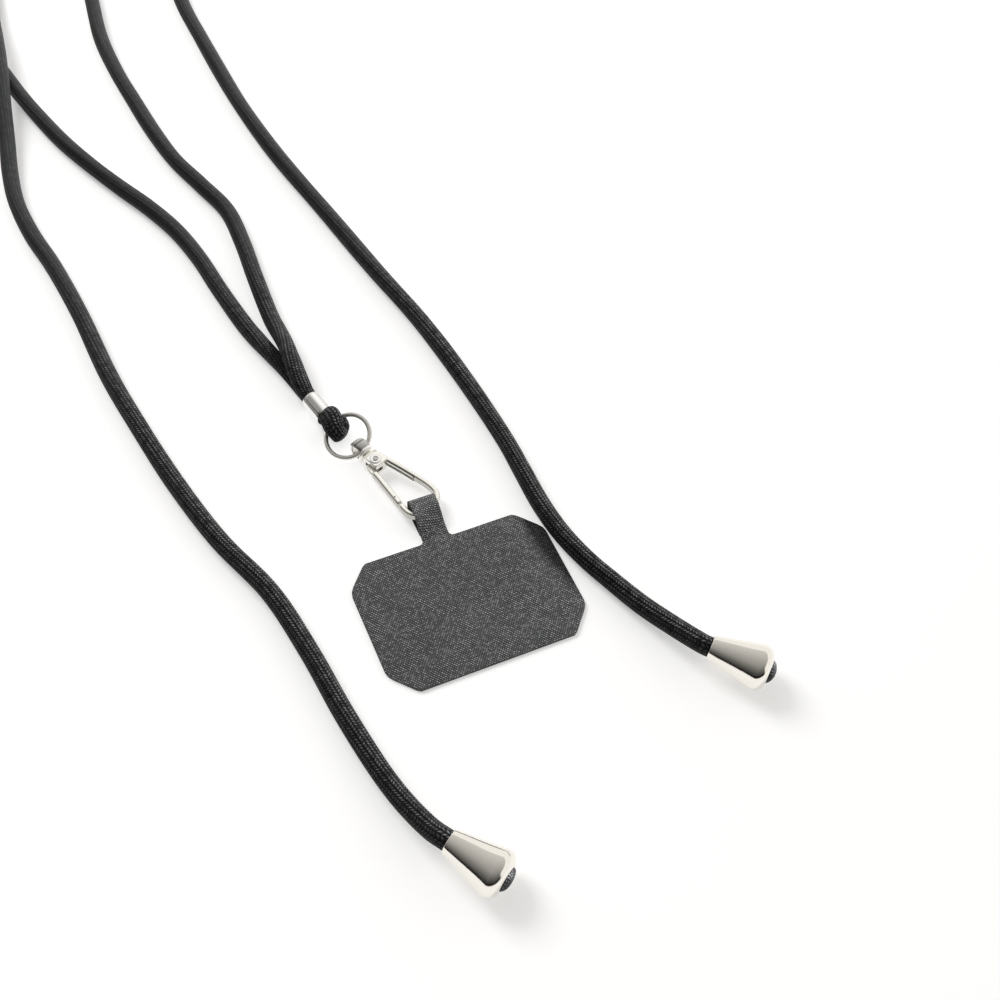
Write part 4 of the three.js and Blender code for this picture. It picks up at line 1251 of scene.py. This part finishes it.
def make_patch(fabric):
    """One sheet of cloth from the patch through the tab, thickened into fabric."""
    rows = sheet_rows()
    wide = len(rows[0])
    points = [(x, y, lying_height(x, y)) for row in rows for x, y in row]
    faces = [
        (r * wide + c, r * wide + c + 1, (r + 1) * wide + c + 1, (r + 1) * wide + c)
        for r in range(len(rows) - 1) for c in range(wide - 1)
    ]
    add_tab(points, faces, [(len(rows) - 1) * wide + COLUMNS_LEFT + c for c in range(COLUMNS_TAB + 1)])
    piece = add_piece("patch_cloth", (points, faces), fabric, "hook", "patch", closed=False)
    cloth = piece.modifiers.new("cloth", "SOLIDIFY")
    cloth.thickness = FABRIC * MM
    cloth.offset = 0.0
    cloth.use_even_offset = False
    bevelled(piece, CLOTH_EDGE, 2, 60)
    sharpened(apply_modifiers(piece), CLOTH_SHARP_ANGLE)


# Table, light and surroundings

TABLE_SIZE = 4.0
TABLE_GAP = 0.00005
TABLE_GLOW = 0.37
ROOM_STRENGTH = 0.97
ROOM_TINT = (1.0, 0.985, 0.945)
FAR_RING_BRIGHTNESS = 2.0
GLOW = {"size": 0.9, "power": 0.92}
KEY = {"at": (0.74, 0.36, 0.5), "target": (0, 0.06, 0), "size": 0.25, "power": 36}
SHADOW_LIGHT = {"at": (-0.42, 0.95, 1.0), "target": (0, 0.05, 0), "size": 0.72, "power": 9}
DARK_SIDE = (-0.75, -0.66, 0.0)
FAR_SIDE = (0.6, 0.8, 0.0)


def add_table():
    bpy.ops.mesh.primitive_plane_add(size=TABLE_SIZE, location=(0, 0, -TABLE_GAP))
    table = bpy.context.object
    table.name = "table"
    look = Look("table_white")
    look.set(
        Base_Color=grey(0.9),
        Roughness=0.85,
        Specular_IOR_Level=0.1,
        Emission_Color=grey(1.0),
        Emission_Strength=TABLE_GLOW,
    )
    table.data.materials.append(look.material)
    return table


def add_area(name, at, target, size, power):
    data = bpy.data.lights.new(name, "AREA")
    data.shape = "DISK"
    data.size = size
    data.energy = power
    light = bpy.data.objects.new(name, data)
    light.location = at
    light.rotation_euler = (Vector(target) - Vector(at)).to_track_quat("-Z", "Y").to_euler()
    light.visible_glossy = False
    bpy.context.scene.collection.objects.link(light)
    return light


def limit(light, role, things, spared):
    """Keeps a light's role, receiver or blocker, to some objects, or spares them alone."""
    chosen = bpy.data.collections.new(light.name + "_" + role)
    for thing in things:
        chosen.objects.link(thing)
    if spared:
        for linked in chosen.collection_objects:
            linked.light_linking.link_state = "EXCLUDE"
    setattr(light.light_linking, role + "_collection", chosen)


def add_room():
    """Surroundings for the metal: bright low on the far side, grey overhead, dark low on the near left."""
    world = bpy.data.worlds.new("room")
    bpy.context.scene.world = world
    world.use_nodes = True
    room = Nodes(world.node_tree)
    direction = room.node("ShaderNodeTexCoord").outputs["Generated"]
    height = room.axis("Z", direction)
    level = room.math("SQRT", room.math("SUBTRACT", 1.001, room.scaled(height, height)))
    near = room.spread(room.math("DIVIDE", room.dot(direction, DARK_SIDE), level), 0.0, 0.35)
    overhead = room.scaled(room.dot(direction, FAR_SIDE), 0.3, 0.44)
    falling = room.spread(height, 0.16, 0.85, 0.16, 1.0)
    overhead = room.scaled(overhead, room.scaled(near, room.math("SUBTRACT", falling, 1.0), 1.0))
    in_band = room.scaled(near, room.spread(height, 0.1, 0.22, 1.0, 0.0))
    above = room.scaled(overhead, room.scaled(in_band, -0.85, 1.0))
    ring = room.scaled(room.math("SUBTRACT", 1.0, near), room.spread(height, 0.46, 0.58, 1.0, 0.0))
    value = room.scaled(ring, room.math("SUBTRACT", FAR_RING_BRIGHTNESS, above), above)
    background = room.tree.nodes["Background"]
    room.feed(background.inputs["Color"], room.mix(value, grey(0.0), grey(1.0, ROOM_TINT)))
    background.inputs["Strength"].default_value = ROOM_STRENGTH


def add_light(table, polished, small):
    """A key on the strap alone, a softer light that throws the shadows and a glow that the hook mirrors."""
    add_room()
    hook_at = HOOK_ORIGIN * MM
    mirrored = Vector((CAMERA_FORWARD.x, CAMERA_FORWARD.y, -CAMERA_FORWARD.z))
    glow = add_area("hook_glow", hook_at + mirrored, hook_at, **GLOW)
    glow.visible_glossy = True
    limit(glow, "receiver", polished, spared=False)
    key = add_area("key", **KEY)
    limit(key, "receiver", [table], spared=True)
    soft = add_area("shadow_light", **SHADOW_LIGHT)
    limit(soft, "blocker", small, spared=True)
    bpy.context.scene.view_settings.view_transform = "Standard"
    bpy.context.scene.view_settings.exposure = 0.0


def main():
    add_camera()
    braid = braid_look("cord_braid_black")
    strands, fold = make_cords(braid)
    cone_metal = metal_look("cone_plate", (0.92, 0.885, 0.83), 0.1)
    # The knots get brighter painted highlights on their stitch tops
    knot_braid = braid_look("knot_braid_black", dark=0.03, light=0.3, pitch=0.75, columns=24)
    fitted = {
        side: [make_cone("cone_" + side, cone, cone_metal), make_knot("knot_" + side, cone, knot_braid)]
        for side, cone in (("left", LEFT_CONE), ("right", RIGHT_CONE))
    }
    metal = metal_look("hook_plate", (0.94, 0.925, 0.875), 0.2)
    # The arms and gate have their left-facing walls painted darker: painted shade
    side_metal = metal_look("hook_arm_plate", (0.9, 0.885, 0.83), 0.2, left_shade=(0.52, 0.5, 0.47))
    # Dark metal for the painted shade bars in the spring channel, also used for the end of the spring's pin
    dark = metal_look("hook_recess", (0.2, 0.195, 0.18), 0.4)
    sleeve = make_ferrule(ferrule_look())
    ring = make_ring(metal_look("ring_plate", (0.86, 0.85, 0.805), 0.32))
    polished = make_eye(eye_look())
    polished += make_hook(metal, side_metal, dark)
    rivet_rim = metal_look("rivet_bright", (0.99, 0.985, 0.97), 0.3)
    polished += make_rivet(rivet_rim, metal_look("rivet_middle", (0.56, 0.55, 0.51), 0.3))
    polished += make_gate(side_metal, dark)
    make_patch(patch_look())
    add_light(add_table(), [sleeve, *polished], [ring, fold])


main()
